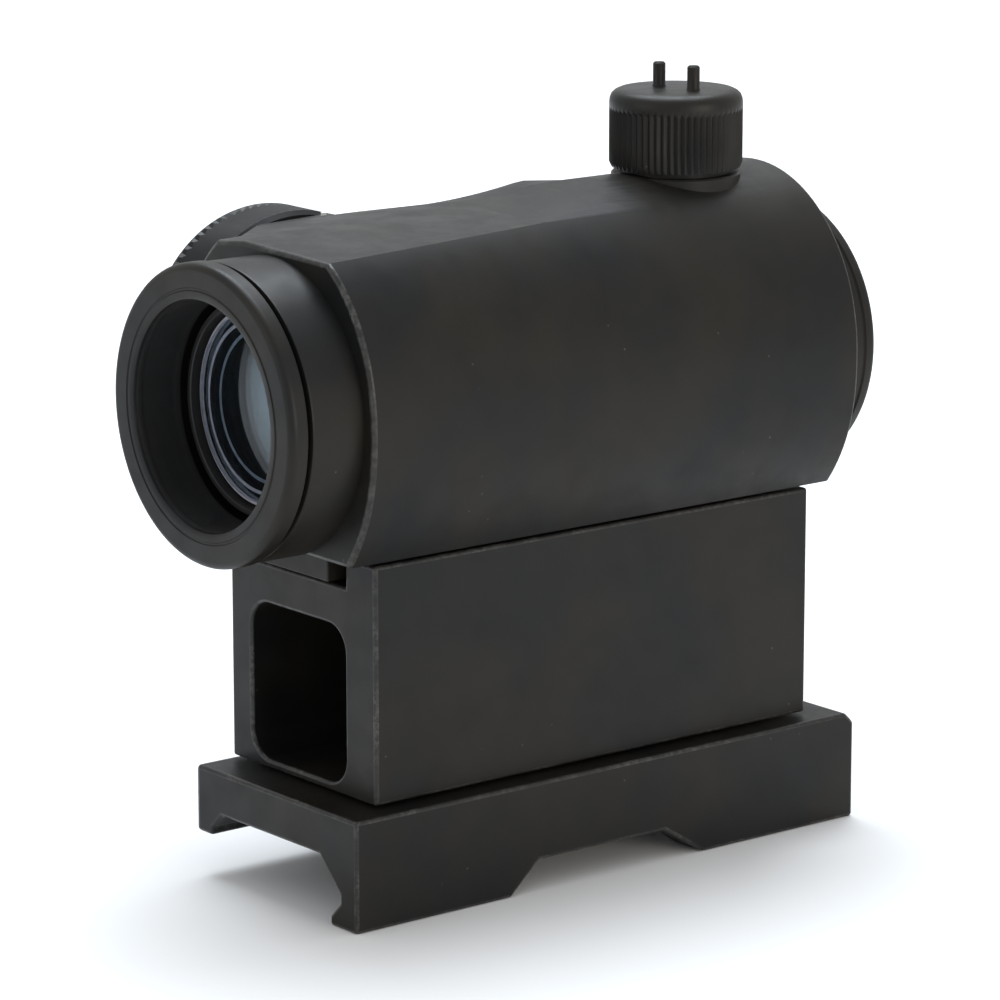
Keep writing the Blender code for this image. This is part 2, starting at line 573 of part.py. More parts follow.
def make_optics():
    seat_rear = TUBE_FRONT + 3.6 * MM
    ledge_rear = seat_rear + 1.2 * MM
    ledge_r = TUBE_BORE_R - 0.6 * MM
    lens_bore = LENS_R + GAP
    turned("inner_tube", [(TUBE_BORE_R, TUBE_REAR), (TUBE_R, TUBE_REAR), (TUBE_R, TUBE_FRONT),
                          (lens_bore, TUBE_FRONT), (lens_bore, seat_rear), (ledge_r, seat_rear),
                          (ledge_r, ledge_rear), (TUBE_BORE_R, ledge_rear)],
           AXIS, BACK, BLACK, steps=48, ring=True)
    front = TUBE_FRONT + LENS_CROWN
    crown = [(LENS_R * share, front - LENS_CROWN * (1 - share * share)) for share in
             (1.0, 0.7, 0.4, 0.0)]
    joint = front + LENS_EDGE
    dish = [(LENS_R * share, joint - 0.5 * MM * (1 - share * share)) for share in
            (0.0, 0.4, 0.7, 1.0)]
    turned("objective_front_element", dish + crown, AXIS, BACK, GLASS, steps=28)
    cap = [(radius, height + GAP) for radius, height in reversed(dish)]
    back = seat_rear - GAP
    turned("objective_rear_element", [(0.0, back), (LENS_R, back)] + cap, AXIS, BACK, GLASS, steps=28)
    tube("pivot_collar", SPIGOT_R, TUBE_R + GAP, PIVOT_Y - PIVOT_WIDTH / 2, PIVOT_Y + PIVOT_WIDTH / 2,
         AXIS, BACK, BRASS, steps=32)
    bracket_low = AXIS_Z - TUBE_BORE_R + 0.8 * MM
    bracket_y = TUBE_REAR - 7.0 * MM
    box("emitter_bracket", (-2.0 * MM, bracket_y, bracket_low),
        (2.0 * MM, bracket_y + 2.6 * MM, bracket_low + 2.4 * MM), STEEL)
    rod("led_emitter", 0.8 * MM, bracket_y - GAP - 1.2 * MM, bracket_y - GAP,
        (0, 0, bracket_low + 1.3 * MM), BACK, LAMP, steps=16)
    spring_top = AXIS_Z - TUBE_R - 0.55 * MM
    spring_half = 3.0 * MM
    box("bias_spring", (-spring_half, TURRET[1] - 9.0 * MM, spring_top - 0.25 * MM),
        (spring_half, TURRET[1] + 5.0 * MM, spring_top), STEEL)


# ---- turrets ----------------------------------------------------------
def prong_rods(name, radius, low, high, lie):
    """Two round bars on the prongs' centres, as prongs or as the holes that they fit."""
    rods = []
    for side in (-1, 1):
        across = side * PRONG_SPACING / 2
        offset = Vector((across * math.cos(PRONG_TURN), across * math.sin(PRONG_TURN), 0.0))
        centre = Vector(TURRET) + Euler(lie).to_matrix() @ offset
        rods.append(rod("%s_%d" % (name, side), radius, low, high, centre, lie, steps=12))
    return rods


def make_turret(name, lie, sink):
    """The cap, its seal, the adjustment drum and the ring that keeps the drum in."""
    bottom = CAP_BOTTOM - sink
    top = bottom + CAP_HEIGHT
    inner = CAP_R - CAP_WALL
    roof = top - CAP_ROOF
    edge = 0.7 * MM
    cap = turned(name + "_cap", [(0.0, top), (CAP_R - edge, top), (CAP_R, top - edge),
                                 (CAP_R, bottom), (inner, bottom), (inner, roof), (0.0, roof)],
                 TURRET, lie, BLACK, steps=48)
    for prong in prong_rods(name + "_prong", PRONG_WIDTH / 2, top - 0.5 * MM, top + PRONG_HEIGHT, lie):
        add(cap, prong)
    mouth = NECK_TOP - sink
    tube(name + "_cap_seal", inner - GAP, DRUM_R, mouth + GAP, mouth + GAP + CAP_SEAL_HEIGHT,
         TURRET, lie, RUBBER, steps=32)
    drum_low = mouth - WELL_DEPTH + GAP
    drum_high = drum_low + DRUM_HEIGHT
    stem_end = TUBE_R + 0.5 * MM
    drum = turned(name + "_screw", [(0.0, drum_high), (DRUM_R, drum_high), (DRUM_R, drum_low),
                                    (STEM_R, drum_low), (STEM_R, stem_end), (0.0, stem_end)],
                  TURRET, lie, BRASS, steps=32)
    for hole in prong_rods(name + "_hole", (PRONG_WIDTH + RUN) / 2, drum_high - 1.2 * MM,
                           drum_high + MM, lie):
        cut(drum, hole)
    tube(name + "_retaining_ring", DRUM_R, DRUM_R - DRUM_RIM, drum_high + GAP,
         drum_high + GAP + 0.9 * MM, TURRET, lie, STEEL, steps=32)


# ---- rotary switch and cell -------------------------------------------
def make_switch():
    near = BOSS_END + GAP
    far = near + KNOB_LENGTH
    floor = near + KNOB_FLOOR
    edge = 0.4 * MM
    turned("brightness_knob", [(CELL_WELL_R, far), (KNOB_R - edge, far), (KNOB_R, far - edge),
                               (KNOB_R, near + edge), (KNOB_R - edge, near),
                               (SPINDLE_R + RUN, near), (SPINDLE_R + RUN, floor),
                               (CELL_WELL_R, floor)], KNOB, SIDE, BLACK, steps=48, ring=True)
    head_low = floor + GAP
    head_high = head_low + SPINDLE_HEAD
    driver_r = SOCKET_R + 0.4 * MM
    tip = BORE_R + 1.6 * MM
    turned("knob_spindle_screw", [(0.0, head_low + SPINDLE_HEAD / 2), (driver_r, head_low + SPINDLE_HEAD / 2),
                                  (driver_r, head_high), (SPINDLE_R + 2.0 * MM, head_high),
                                  (SPINDLE_R + 2.0 * MM, head_low), (SPINDLE_R, head_low),
                                  (SPINDLE_R, tip), (0.0, tip)], KNOB, SIDE, STEEL, steps=28)
    board_high = BOSS_END - GAP
    tube("switch_board", BOARD_R, SPINDLE_R + RUN, board_high - BOARD_THICKNESS, board_high,
         KNOB, SIDE, BOARD, steps=36)
    cell_low = head_high + GAP
    cell_high = cell_low + CELL_THICKNESS
    can_low = cell_low + 0.6 * MM
    lid_r = CELL_R - 1.2 * MM
    crimp = 0.3 * MM
    turned("cell", [(0.0, cell_high), (CELL_R - crimp, cell_high), (CELL_R, cell_high - crimp),
                    (CELL_R, can_low), (lid_r, can_low), (lid_r, cell_low), (0.0, cell_low)],
           KNOB, SIDE, BRIGHT, steps=32)
    seal_high = cell_high + GAP + 0.6 * MM
    cap_r = CELL_WELL_R - GAP
    tube("cell_cap_seal", cap_r, CELL_WELL_R - 1.5 * MM, cell_high + GAP, seal_high, KNOB, SIDE,
         RUBBER, steps=36)
    cap_low = seal_high + GAP
    cap_high = cap_low + CELL_CAP_THICKNESS
    rim = 0.5 * MM
    cell_cap = turned("cell_cap", [(0.0, cap_high), (cap_r - rim, cap_high), (cap_r, cap_high - rim),
                                   (cap_r, cap_low), (0.0, cap_low)], KNOB, SIDE, BLACK, steps=48)
    coin_half = cap_r - 3.7 * MM
    coin = box("coin_slot", (-coin_half, -0.9 * MM, cap_high - MM), (coin_half, 0.9 * MM, cap_high + MM))
    coin.location = KNOB
    coin.rotation_euler = SIDE
    cut(cell_cap, coin)
    shape = bmesh.new()
    bmesh.ops.create_uvsphere(shape, u_segments=16, v_segments=10, radius=BALL_R)
    mesh = bpy.data.meshes.new("detent_ball")
    shape.to_mesh(mesh)
    shape.free()
    ball = place("detent_ball", mesh, BRIGHT)
    ball.location = (BALL_R - BOSS_END, DETENT[1], DETENT[2])
    tube("detent_spring", 0.75 * MM, 0.4 * MM, BOSS_END - DETENT_DEPTH + GAP / 2,
         BOSS_END - 2 * BALL_R - GAP / 2, DETENT, SIDE, BRIGHT, steps=12)


# ---- clamp ------------------------------------------------------------
def cam_outline():
    """The lever's eye: round, with a slope that lets the jaw out as the lever swings."""
    points = []
    for index in range(36):
        angle = TURN * index / 36
        fall = min(angle / LEVER_SWING, 1.0) if angle <= math.pi else 0.0
        radius = CAM_R - CAM_TRAVEL * fall
        points.append((PIVOT_X + radius * math.cos(angle), LEVER_Y + radius * math.sin(angle)))
    return points


def make_clamp():
    outline = groove(-1)
    outline[0] = (-RAIL_FLAT_HALF - GAP, -GAP)
    outline += [(CLAMP_OUTER_X, -JAW_DROP), (CLAMP_OUTER_X, -GAP)]
    jaw = prism("clamp_jaw", outline, "Y", -CLAMP_HALF_LENGTH, CLAMP_HALF_LENGTH, STEEL)
    for side in (-1, 1):
        add(jaw, box("tongue_%d" % side,
                     (CLAMP_OUTER_X, side * TONGUE_Y - TONGUE_WIDTH / 2, -JAW_DROP / 2),
                     (-RAIL_FLAT_HALF - CAM_TRAVEL, side * TONGUE_Y + TONGUE_WIDTH / 2,
                      TONGUE_HEIGHT)))
    bottom = LEVER_TOP - LEVER_THICKNESS
    lever = prism("clamp_lever", cam_outline(), "Z", bottom, LEVER_TOP, BLACK)
    inner = PIVOT_X + 1.2 * MM
    tip = LEVER_Y - LEVER_LENGTH
    arm = [(inner, LEVER_Y), (inner, tip + 3.0 * MM), (inner - 2.0 * MM, tip),
           (inner - LEVER_ARM - MM, tip), (inner - LEVER_ARM, tip + 5.0 * MM),
           (inner - LEVER_ARM, LEVER_Y)]
    add(lever, prism("lever_arm", arm, "Z", bottom + 0.5 * MM, LEVER_TOP - 0.5 * MM))
    cut(lever, rod("lever_hole", SHANK_R + RUN, bottom - MM, LEVER_TOP + MM,
                   (PIVOT_X, LEVER_Y, 0), UP, steps=12))
    socket_screw("lever_pivot_screw", PIVOT_X, LEVER_Y, bottom - GAP,
                 LEVER_TOP + GAP + LEVER_LUG - 0.4 * MM)


make_rail_base()
make_riser()
for number, (x, y) in enumerate(RISER_SCREWS, 1):
    socket_screw("riser_screw_%d" % number, x, y, TUNNEL_BOTTOM + GAP, 0.4 * MM)
make_housing()
for number, (x, y) in enumerate(OPTIC_SCREWS, 1):
    socket_screw("optic_screw_%d" % number, x, y, TUNNEL_TOP + HEAD_HEIGHT,
                 FOOT_BOTTOM + THREAD_DEPTH - GAP)
make_ends()
make_optics()
make_turret("elevation", UP, 0.0)
make_turret("windage", SIDE, SIDE_SINK)
make_switch()
make_clamp()
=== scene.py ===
# %% [markdown]
# # A compact reflex sight on a tall rail riser
# The mechanical model is loaded first and never moved. Every surface that shows is then modelled
# again with fine edges, knurls and glass, and each new piece rides on the body it belongs to.

# %% Load the frame
import json
import math

import bmesh
import bpy
from mathutils import Matrix, Vector


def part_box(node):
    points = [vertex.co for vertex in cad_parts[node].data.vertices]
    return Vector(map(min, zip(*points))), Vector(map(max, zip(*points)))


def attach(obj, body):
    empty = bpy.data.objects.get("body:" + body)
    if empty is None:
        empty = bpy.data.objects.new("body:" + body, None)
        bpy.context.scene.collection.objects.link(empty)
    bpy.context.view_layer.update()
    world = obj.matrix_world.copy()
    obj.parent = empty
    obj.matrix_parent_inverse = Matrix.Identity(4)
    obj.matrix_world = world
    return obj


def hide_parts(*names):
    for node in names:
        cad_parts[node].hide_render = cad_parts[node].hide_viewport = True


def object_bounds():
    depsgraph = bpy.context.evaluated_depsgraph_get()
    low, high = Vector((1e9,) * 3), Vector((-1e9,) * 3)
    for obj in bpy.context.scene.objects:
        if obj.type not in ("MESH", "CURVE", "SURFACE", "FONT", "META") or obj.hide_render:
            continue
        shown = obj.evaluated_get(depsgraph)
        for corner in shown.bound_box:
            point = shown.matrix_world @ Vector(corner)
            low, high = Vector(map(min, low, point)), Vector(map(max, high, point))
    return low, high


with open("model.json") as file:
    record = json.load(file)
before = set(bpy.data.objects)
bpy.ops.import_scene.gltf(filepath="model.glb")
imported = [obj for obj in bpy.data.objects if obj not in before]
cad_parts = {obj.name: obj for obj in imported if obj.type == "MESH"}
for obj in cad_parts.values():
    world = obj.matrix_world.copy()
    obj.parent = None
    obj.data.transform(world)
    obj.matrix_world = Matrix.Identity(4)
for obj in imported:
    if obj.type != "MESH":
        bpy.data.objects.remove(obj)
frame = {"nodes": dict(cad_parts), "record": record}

MM = 0.001


def mm(x, y, z):
    """A place or a step, given in millimetres."""
    return Vector((x, y, z)) * MM


cad_low, cad_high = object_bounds()
print("cad box in mm", [round(value / MM, 1) for value in (*cad_low, *cad_high)])

# %% [markdown]
# The places that several pieces share are read from the frame, so nothing is fitted by eye. The
# optical axis and the two ends come from the mounts, and the turned parts' centres from the joints.

# %% Shared places
mounts = {mount["name"]: mount for mount in frame["record"]["mounts"]}
joints = {joint["name"]: joint for joint in frame["record"]["behaviour"]["joints"]}
AXIS_Z = mounts["objective_rim"]["pos_m"][2]
FRONT_Y = mounts["objective_rim"]["pos_m"][1]
REAR_Y = mounts["ocular_rim"]["pos_m"][1]
TURRET_Y = joints["elevation_cap_turn"]["pos_m"][1]
KNOB_Y, KNOB_Z = joints["brightness_turn"]["pos_m"][1:]
PIVOT_X, PIVOT_Y = joints["lever_swing"]["pos_m"][:2]
OPTICAL = Vector((0, 0, AXIS_Z))
TURRET = Vector((0, TURRET_Y, AXIS_Z))
KNOB = Vector((0, KNOB_Y, KNOB_Z))
print("optical axis at", round(AXIS_Z / MM, 2), "mm")

# %% [markdown]
# A long lens from some way off keeps the sides of the riser almost parallel, which is how small
# products are usually shown. The camera looks down a little on the objective end.

# %% Camera
AIM = mm(-0.7, -2.6, 27.4)
AZIMUTH = math.radians(51.343)
ELEVATION = math.radians(12.829)
DISTANCE = 453.3 * MM
FOCAL_LENGTH = 173.84    # on a sensor 36 mm wide
bpy.ops.object.select_all(action="DESELECT")
bpy.ops.object.camera_add(rotation=(math.pi / 2 - ELEVATION, 0.0, AZIMUTH))
camera = bpy.context.object
away = Vector((math.sin(AZIMUTH) * math.cos(ELEVATION), -math.cos(AZIMUTH) * math.cos(ELEVATION),
               math.sin(ELEVATION)))
camera.location = AIM + away * DISTANCE
camera.data.sensor_width = 36.0
camera.data.lens = FOCAL_LENGTH
bpy.context.scene.camera = camera
print("camera at", [round(value, 4) for value in camera.location])

# %% [markdown]
# Dark metal shows its shape only through what it reflects. A broad pale floor, a bright sky all
# round, a cool light overhead and a warmer one at the side give soft, readable reflections.

# %% Floor and lights
FLOOR_Z = cad_low.z
bpy.ops.object.select_all(action="DESELECT")
bpy.ops.mesh.primitive_plane_add(size=8.0, location=(0.0, 0.0, FLOOR_Z))
floor = bpy.context.object
floor.name = "studio_floor"


def soft_light(name, place, size, power, colour):
    """A square area light that faces the middle of the object."""
    bpy.ops.object.select_all(action="DESELECT")
    facing = (AIM - Vector(place)).to_track_quat("-Z", "Y").to_euler()
    bpy.ops.object.light_add(type="AREA", location=place, rotation=facing)
    light = bpy.context.object
    light.name = name
    light.data.shape = "SQUARE"
    light.data.size = size
    light.data.energy = power
    light.data.color = colour


soft_light("overhead", (-0.25, 0.15, 0.75), 0.55, 8.0, (0.86, 0.93, 1.0))
soft_light("side_fill", (0.95, 0.10, 0.13), 0.5, 3.6, (1.0, 0.92, 0.80))
soft_light("front_fill", (-0.15, -0.9, 0.3), 0.4, 0.9, (0.92, 0.96, 1.0))
world = bpy.data.worlds.new("studio")
bpy.context.scene.world = world
world.use_nodes = True
sky = world.node_tree.nodes["Background"]
sky.inputs["Color"].default_value = (0.97, 0.985, 1.0, 1.0)
sky.inputs["Strength"].default_value = 0.75
bpy.context.scene.view_settings.view_transform = "Standard"

# %% [markdown]
# Most of the sight is lathe work. The way to make such a piece by hand is to draw half of its
# section by extruding one vertex from corner to corner, and then to spin that line round the axis.

# %% Drawing, spinning and extruding
ALONG = {"up": Vector((0, 0, 1)), "back": Vector((0, 1, 0)), "side": Vector((-1, 0, 0))}
ACROSS = {"up": Vector((1, 0, 0)), "back": Vector((0, 0, 1)), "side": Vector((0, 0, 1))}
WELD = 0.002 * MM


def only(piece):
    """Select one piece and make it active."""
    bpy.ops.object.select_all(action="DESELECT")
    piece.select_set(True)
    bpy.context.view_layer.objects.active = piece


def draw(name, points):
    """A chain of edges through points, left in edit mode with all of it selected."""
    bpy.ops.object.select_all(action="DESELECT")
    bpy.ops.mesh.primitive_plane_add(size=MM)
    piece = bpy.context.object
    piece.name = name
    piece.data.name = name
    bpy.ops.object.mode_set(mode="EDIT")
    bpy.ops.mesh.merge(type="CENTER")
    bpy.ops.transform.translate(value=points[0])
    for before, after in zip(points, points[1:]):
        bpy.ops.mesh.extrude_region_move(TRANSFORM_OT_translate={"value": after - before})
    bpy.ops.mesh.select_all(action="SELECT")
    return piece


def close_up():
    """Weld the seam and the poles of the shape in edit mode and turn its faces outwards."""
    bpy.ops.mesh.select_all(action="SELECT")
    bpy.ops.mesh.remove_doubles(threshold=WELD)
    bpy.ops.mesh.normals_make_consistent(inside=False)
    bpy.ops.object.mode_set(mode="OBJECT")


def lathe(name, profile, centre, lie, steps=96, ring=False):
    """Spin a section of (radius, height) in mm round the line through centre that runs along lie."""
    if ring:
        profile = [*profile, profile[0]]
    points = [centre + (ACROSS[lie] * radius + ALONG[lie] * height) * MM for radius, height in profile]
    piece = draw(name, points)
    bpy.ops.mesh.spin(steps=steps, angle=math.tau, center=centre, axis=ALONG[lie])
    close_up()
    return piece


def slab(name, outline, push):
    """A closed outline of points pushed straight along a vector."""
    piece = draw(name, outline)
    bpy.ops.mesh.edge_face_add()
    bpy.ops.mesh.extrude_region_move(TRANSFORM_OT_translate={"value": push})
    close_up()
    return piece


# %% [markdown]
# Edges are what the eye reads on black metal. A bevel modifier rounds every hard edge, and the new
# faces get the second material slot, so the anodise can look rubbed exactly there.

# %% Cutting and rounding
def apply_all(piece):
    """Apply the piece's modifiers in order."""
    only(piece)
    for modifier in list(piece.modifiers):
        bpy.ops.object.modifier_apply(modifier=modifier.name)


def combine(piece, tool, operation):
    """Cut with, or add, another piece, which is then removed."""
    step = piece.modifiers.new(operation, "BOOLEAN")
    step.operation = operation
    step.solver = "EXACT"
    step.object = tool
    apply_all(piece)
    bpy.data.objects.remove(tool, do_unlink=True)


def cut(piece, tool):
    """Take another piece's shape away from the piece."""
    combine(piece, tool, "DIFFERENCE")


def add(piece, tool):
    """Join another piece to the piece."""
    combine(piece, tool, "UNION")


def soften(piece, width, segments=3, angle=32.0):
    """Round the hard edges by a width in mm; the rounded faces take material slot 1."""
    bevel = piece.modifiers.new("edges", "BEVEL")
    bevel.width = width * MM
    bevel.segments = segments
    bevel.limit_method = "ANGLE"
    bevel.angle_limit = math.radians(angle)
    bevel.use_clamp_overlap = False
    bevel.material = 1
    apply_all(piece)
    return piece


def round_edges(piece, chosen, width, segments=3, material=1):
    """Bevel the edges between the vertices for which chosen(place in mm) is true."""
    pick(piece, lambda place: chosen(place / MM))
    bpy.ops.mesh.bevel(offset=width * MM, segments=segments, affect="EDGES", material=material,
                       clamp_overlap=False)
    bpy.ops.object.mode_set(mode="OBJECT")
    return piece


def tidy_flats(piece, weld=WELD):
    """Weld stray corners and dissolve the needless edges that a cut leaves in flat faces."""
    only(piece)
    bpy.ops.object.mode_set(mode="EDIT")
    bpy.ops.mesh.select_all(action="SELECT")
    bpy.ops.mesh.remove_doubles(threshold=weld)
    bpy.ops.mesh.dissolve_limited(angle_limit=math.radians(0.3))
    bpy.ops.object.mode_set(mode="OBJECT")
    return piece


def smooth(piece, angle=40.0):
    """Smooth shading with flat faces kept flat."""
    only(piece)
    bpy.ops.object.shade_smooth_by_angle(angle=math.radians(angle))
    weighted = piece.modifiers.new("flats", "WEIGHTED_NORMAL")
    weighted.keep_sharp = True
    apply_all(piece)
    return piece


def pick(piece, chosen):
    """In edit mode, select the vertices for which chosen(place) is true, and what lies between them."""
    only(piece)
    bpy.ops.object.mode_set(mode="EDIT")
    bpy.ops.mesh.select_mode(type="VERT")
    bpy.ops.mesh.select_all(action="DESELECT")
    shape = bmesh.from_edit_mesh(piece.data)
    count = 0
    for vertex in shape.verts:
        if chosen(vertex.co):
            vertex.select_set(True)
            count += 1
    shape.select_flush(True)
    bmesh.update_edit_mesh(piece.data)
    return count


# %% [markdown]
# ## Finishes
# The same three effects turn up on several metals: a fine blasted grain, patches where the dye took
# a little warmer or cooler, and sparse pale dust. Each is a node group that reads Object coordinates,
# so nothing slides when a part turns.

# %% Node groups
def new_group(name, inputs, outputs):
    """An empty shader group with float or colour sockets, given as (name, kind, default)."""
    group = bpy.data.node_groups.new(name, "ShaderNodeTree")
    for label, kind, default in inputs:
        socket = group.interface.new_socket(label, in_out="INPUT", socket_type=kind)
        socket.default_value = default
    for label, kind in outputs:
        group.interface.new_socket(label, in_out="OUTPUT", socket_type=kind)
    nodes = group.nodes
    start = nodes.new("NodeGroupInput")
    end = nodes.new("NodeGroupOutput")
    place = nodes.new("ShaderNodeTexCoord")
    return group, start, end, place


def noise(tree, place, scale, detail, roughness=0.5):
    """A noise texture on Object coordinates; scale is in cycles per metre."""
    node = tree.nodes.new("ShaderNodeTexNoise")
    node.inputs["Scale"].default_value = scale
    node.inputs["Detail"].default_value = detail
    node.inputs["Roughness"].default_value = roughness
    tree.links.new(place.outputs["Object"], node.inputs["Vector"])
    return node


def remap(tree, value, low, high, to_low, to_high):
    """A Map Range node from a socket."""
    node = tree.nodes.new("ShaderNodeMapRange")
    for label, number in (("From Min", low), ("From Max", high), ("To Min", to_low), ("To Max", to_high)):
        node.inputs[label].default_value = number
    tree.links.new(value, node.inputs["Value"])
    return node.outputs["Result"]


def blend_colours(tree, factor, first, second):
    """Mix two colours, each a socket or a plain colour, by a factor socket."""
    node = tree.nodes.new("ShaderNodeMix")
    node.data_type = "RGBA"
    tree.links.new(factor, node.inputs["Factor"])
    for label, colour in (("A", first), ("B", second)):
        socket = next(s for s in node.inputs if s.name == label and s.type == "RGBA")
        if isinstance(colour, bpy.types.NodeSocket):
            tree.links.new(colour, socket)
        else:
            socket.default_value = (*colour, 1.0)
    return next(s for s in node.outputs if s.type == "RGBA")


def make_blasted_skin():
    """Blasted and dyed metal: patchy colour, uneven sheen and a fine grain to feed a bump."""
    group, start, end, place = new_group(
        "blasted_skin",
        [("Cool", "NodeSocketColor", (0.011, 0.011, 0.012, 1)),
         ("Warm", "NodeSocketColor", (0.015, 0.0135, 0.011, 1)),
         ("Dull", "NodeSocketFloat", 0.5), ("Shiny", "NodeSocketFloat", 0.4)],
        [("Color", "NodeSocketColor"), ("Roughness", "NodeSocketFloat"), ("Grain", "NodeSocketFloat")])
    patches = noise(group, place, 70.0, 3.0, 0.6)
    share = remap(group, patches.outputs["Fac"], 0.38, 0.62, 0.0, 1.0)
    skin = blend_colours(group, share, start.outputs["Cool"], start.outputs["Warm"])
    sheen = noise(group, place, 240.0, 4.0, 0.6)
    spread = group.nodes.new("ShaderNodeMix")
    group.links.new(remap(group, sheen.outputs["Fac"], 0.35, 0.65, 0.0, 1.0), spread.inputs["Factor"])
    group.links.new(start.outputs["Shiny"], spread.inputs["A"])
    group.links.new(start.outputs["Dull"], spread.inputs["B"])
    grain = noise(group, place, 5200.0, 2.0, 0.7)
    group.links.new(skin, end.inputs["Color"])
    group.links.new(spread.outputs["Result"], end.inputs["Roughness"])
    group.links.new(grain.outputs["Fac"], end.inputs["Grain"])
    return group


def mask_by_amount(group, start, end, first, second):
    """Multiply two masks with each other and with the group's Amount, into its Mask."""
    product = first
    for factor in (second, start.outputs["Amount"]):
        times = group.nodes.new("ShaderNodeMath")
        times.operation = "MULTIPLY"
        group.links.new(product, times.inputs[0])
        group.links.new(factor, times.inputs[1])
        product = times.outputs[0]
    group.links.new(product, end.inputs["Mask"])


def make_rubbed_edge():
    """A mask of short bright rubs for the rounded edges, broken up at two scales."""
    group, start, end, place = new_group(
        "rubbed_edge", [("Amount", "NodeSocketFloat", 0.5)], [("Mask", "NodeSocketFloat")])
    runs = noise(group, place, 260.0, 2.0)
    chips = noise(group, place, 1900.0, 3.0, 0.7)
    mask_by_amount(group, start, end, remap(group, runs.outputs["Fac"], 0.4, 0.62, 0.15, 1.0),
                   remap(group, chips.outputs["Fac"], 0.42, 0.6, 0.1, 1.0))
    return group


def make_dust():
    """Sparse pale specks, about a tenth of a millimetre across."""
    group, start, end, place = new_group(
        "dust", [("Amount", "NodeSocketFloat", 1.0)], [("Mask", "NodeSocketFloat")])
    cells = group.nodes.new("ShaderNodeTexVoronoi")
    cells.inputs["Scale"].default_value = 620.0
    group.links.new(place.outputs["Object"], cells.inputs["Vector"])
    speck = remap(group, cells.outputs["Distance"], 0.03, 0.09, 1.0, 0.0)
    where = noise(group, place, 150.0, 2.0)
    shown = remap(group, where.outputs["Fac"], 0.56, 0.66, 0.0, 1.0)
    mask_by_amount(group, start, end, speck, shown)
    return group


groups = {"skin": make_blasted_skin(), "rub": make_rubbed_edge(), "dust": make_dust()}
print("node groups", [group.name for group in groups.values()])

# %% [markdown]
# Black anodise is almost all reflection: the dye is so dark that the shape is carried by the clear
# oxide's sheen. The edge finish is the same skin with a little bare metal showing through the rubs.

# %% Metal finishes
DUST_COLOUR = (0.16, 0.155, 0.15)
GRAIN_DEPTH = 0.03 * MM


def new_finish(name):
    """A new material, its node tree and its shader."""
    material = bpy.data.materials.new(name)
    material.use_nodes = True
    return material, material.node_tree, material.node_tree.nodes["Principled BSDF"]


def place_group(tree, name, **values):
    """One of the shared groups, placed in a material with its own values."""
    node = tree.nodes.new("ShaderNodeGroup")
    node.node_tree = groups[name]
    for label, value in values.items():
        node.inputs[label].default_value = value
    return node


def add_bump(tree, shader, height, strength, depth):
    """Feed a height into the shader's normal."""
    bump = tree.nodes.new("ShaderNodeBump")
    bump.inputs["Strength"].default_value = strength
    bump.inputs["Distance"].default_value = depth
    tree.links.new(height, bump.inputs["Height"])
    tree.links.new(bump.outputs["Normal"], shader.inputs["Normal"])


def blasted_metal(name, cool, warm, shiny, dull, metallic=0.0, rub=0.0, bare=(0.3, 0.3, 0.3), dust=0.35,
                  specular=0.5):
    """A blasted, dyed metal finish; rub is how much bare metal shows on it."""
    material, tree, shader = new_finish(name)
    skin = place_group(tree, "skin", Cool=(*cool, 1), Warm=(*warm, 1), Dull=dull, Shiny=shiny)
    colour = skin.outputs["Color"]
    if rub:
        rubs = place_group(tree, "rub", Amount=rub)
        colour = blend_colours(tree, rubs.outputs["Mask"], colour, bare)
    specks = place_group(tree, "dust", Amount=dust)
    colour = blend_colours(tree, specks.outputs["Mask"], colour, DUST_COLOUR)
    tree.links.new(colour, shader.inputs["Base Color"])
    tree.links.new(skin.outputs["Roughness"], shader.inputs["Roughness"])
    shader.inputs["Metallic"].default_value = metallic
    shader.inputs["Specular IOR Level"].default_value = specular
    add_bump(tree, shader, skin.outputs["Grain"], 0.25, GRAIN_DEPTH)
    return material


black_anodised = blasted_metal("black_anodised", (0.0065, 0.0067, 0.0070), (0.0125, 0.0105, 0.0078), 0.36,
                               0.50, specular=0.21)
anodised_edge = blasted_metal("anodised_edge", (0.012, 0.012, 0.012), (0.018, 0.016, 0.014), 0.28, 0.40,
                              rub=0.22, bare=(0.20, 0.195, 0.18), specular=0.3)
knob_black = blasted_metal("knob_black", (0.007, 0.008, 0.009), (0.009, 0.009, 0.0085), 0.34, 0.46,
                           specular=0.24)
dull_black = blasted_metal("dull_black", (0.006, 0.006, 0.006), (0.009, 0.008, 0.007), 0.55, 0.7, dust=0.15)
black_steel = blasted_metal("black_steel", (0.05, 0.05, 0.055), (0.06, 0.055, 0.05), 0.28, 0.4,
                            metallic=1.0, rub=0.2)
bright_steel = blasted_metal("bright_steel", (0.5, 0.51, 0.53), (0.56, 0.55, 0.53), 0.2, 0.34, metallic=1.0,
                             dust=0.1)
brass = blasted_metal("brass", (0.62, 0.45, 0.18), (0.72, 0.52, 0.24), 0.22, 0.38, metallic=1.0, dust=0.1)
print("metals made")

# %% [markdown]
# Rubber, board and lamp are small and mostly hidden, but each still gets its own surface. The glass
# keeps a plain transmission, and its blue comes from a tinted reflection, as a real coating does it.

# %% Soft, painted and clear finishes
def plain_finish(name, dark, light, scale, rough_low, rough_high, bump=0.0):
    """A material whose colour and sheen wander between two values at one scale."""
    material, tree, shader = new_finish(name)
    place = tree.nodes.new("ShaderNodeTexCoord")
    mottle = noise(tree, place, scale, 3.0, 0.6)
    colour = blend_colours(tree, remap(tree, mottle.outputs["Fac"], 0.35, 0.65, 0.0, 1.0), dark, light)
    tree.links.new(colour, shader.inputs["Base Color"])
    tree.links.new(remap(tree, mottle.outputs["Fac"], 0.3, 0.7, rough_low, rough_high),
                   shader.inputs["Roughness"])
    if bump:
        add_bump(tree, shader, noise(tree, place, scale * 6, 2.0).outputs["Fac"], bump, 0.02 * MM)
    return material


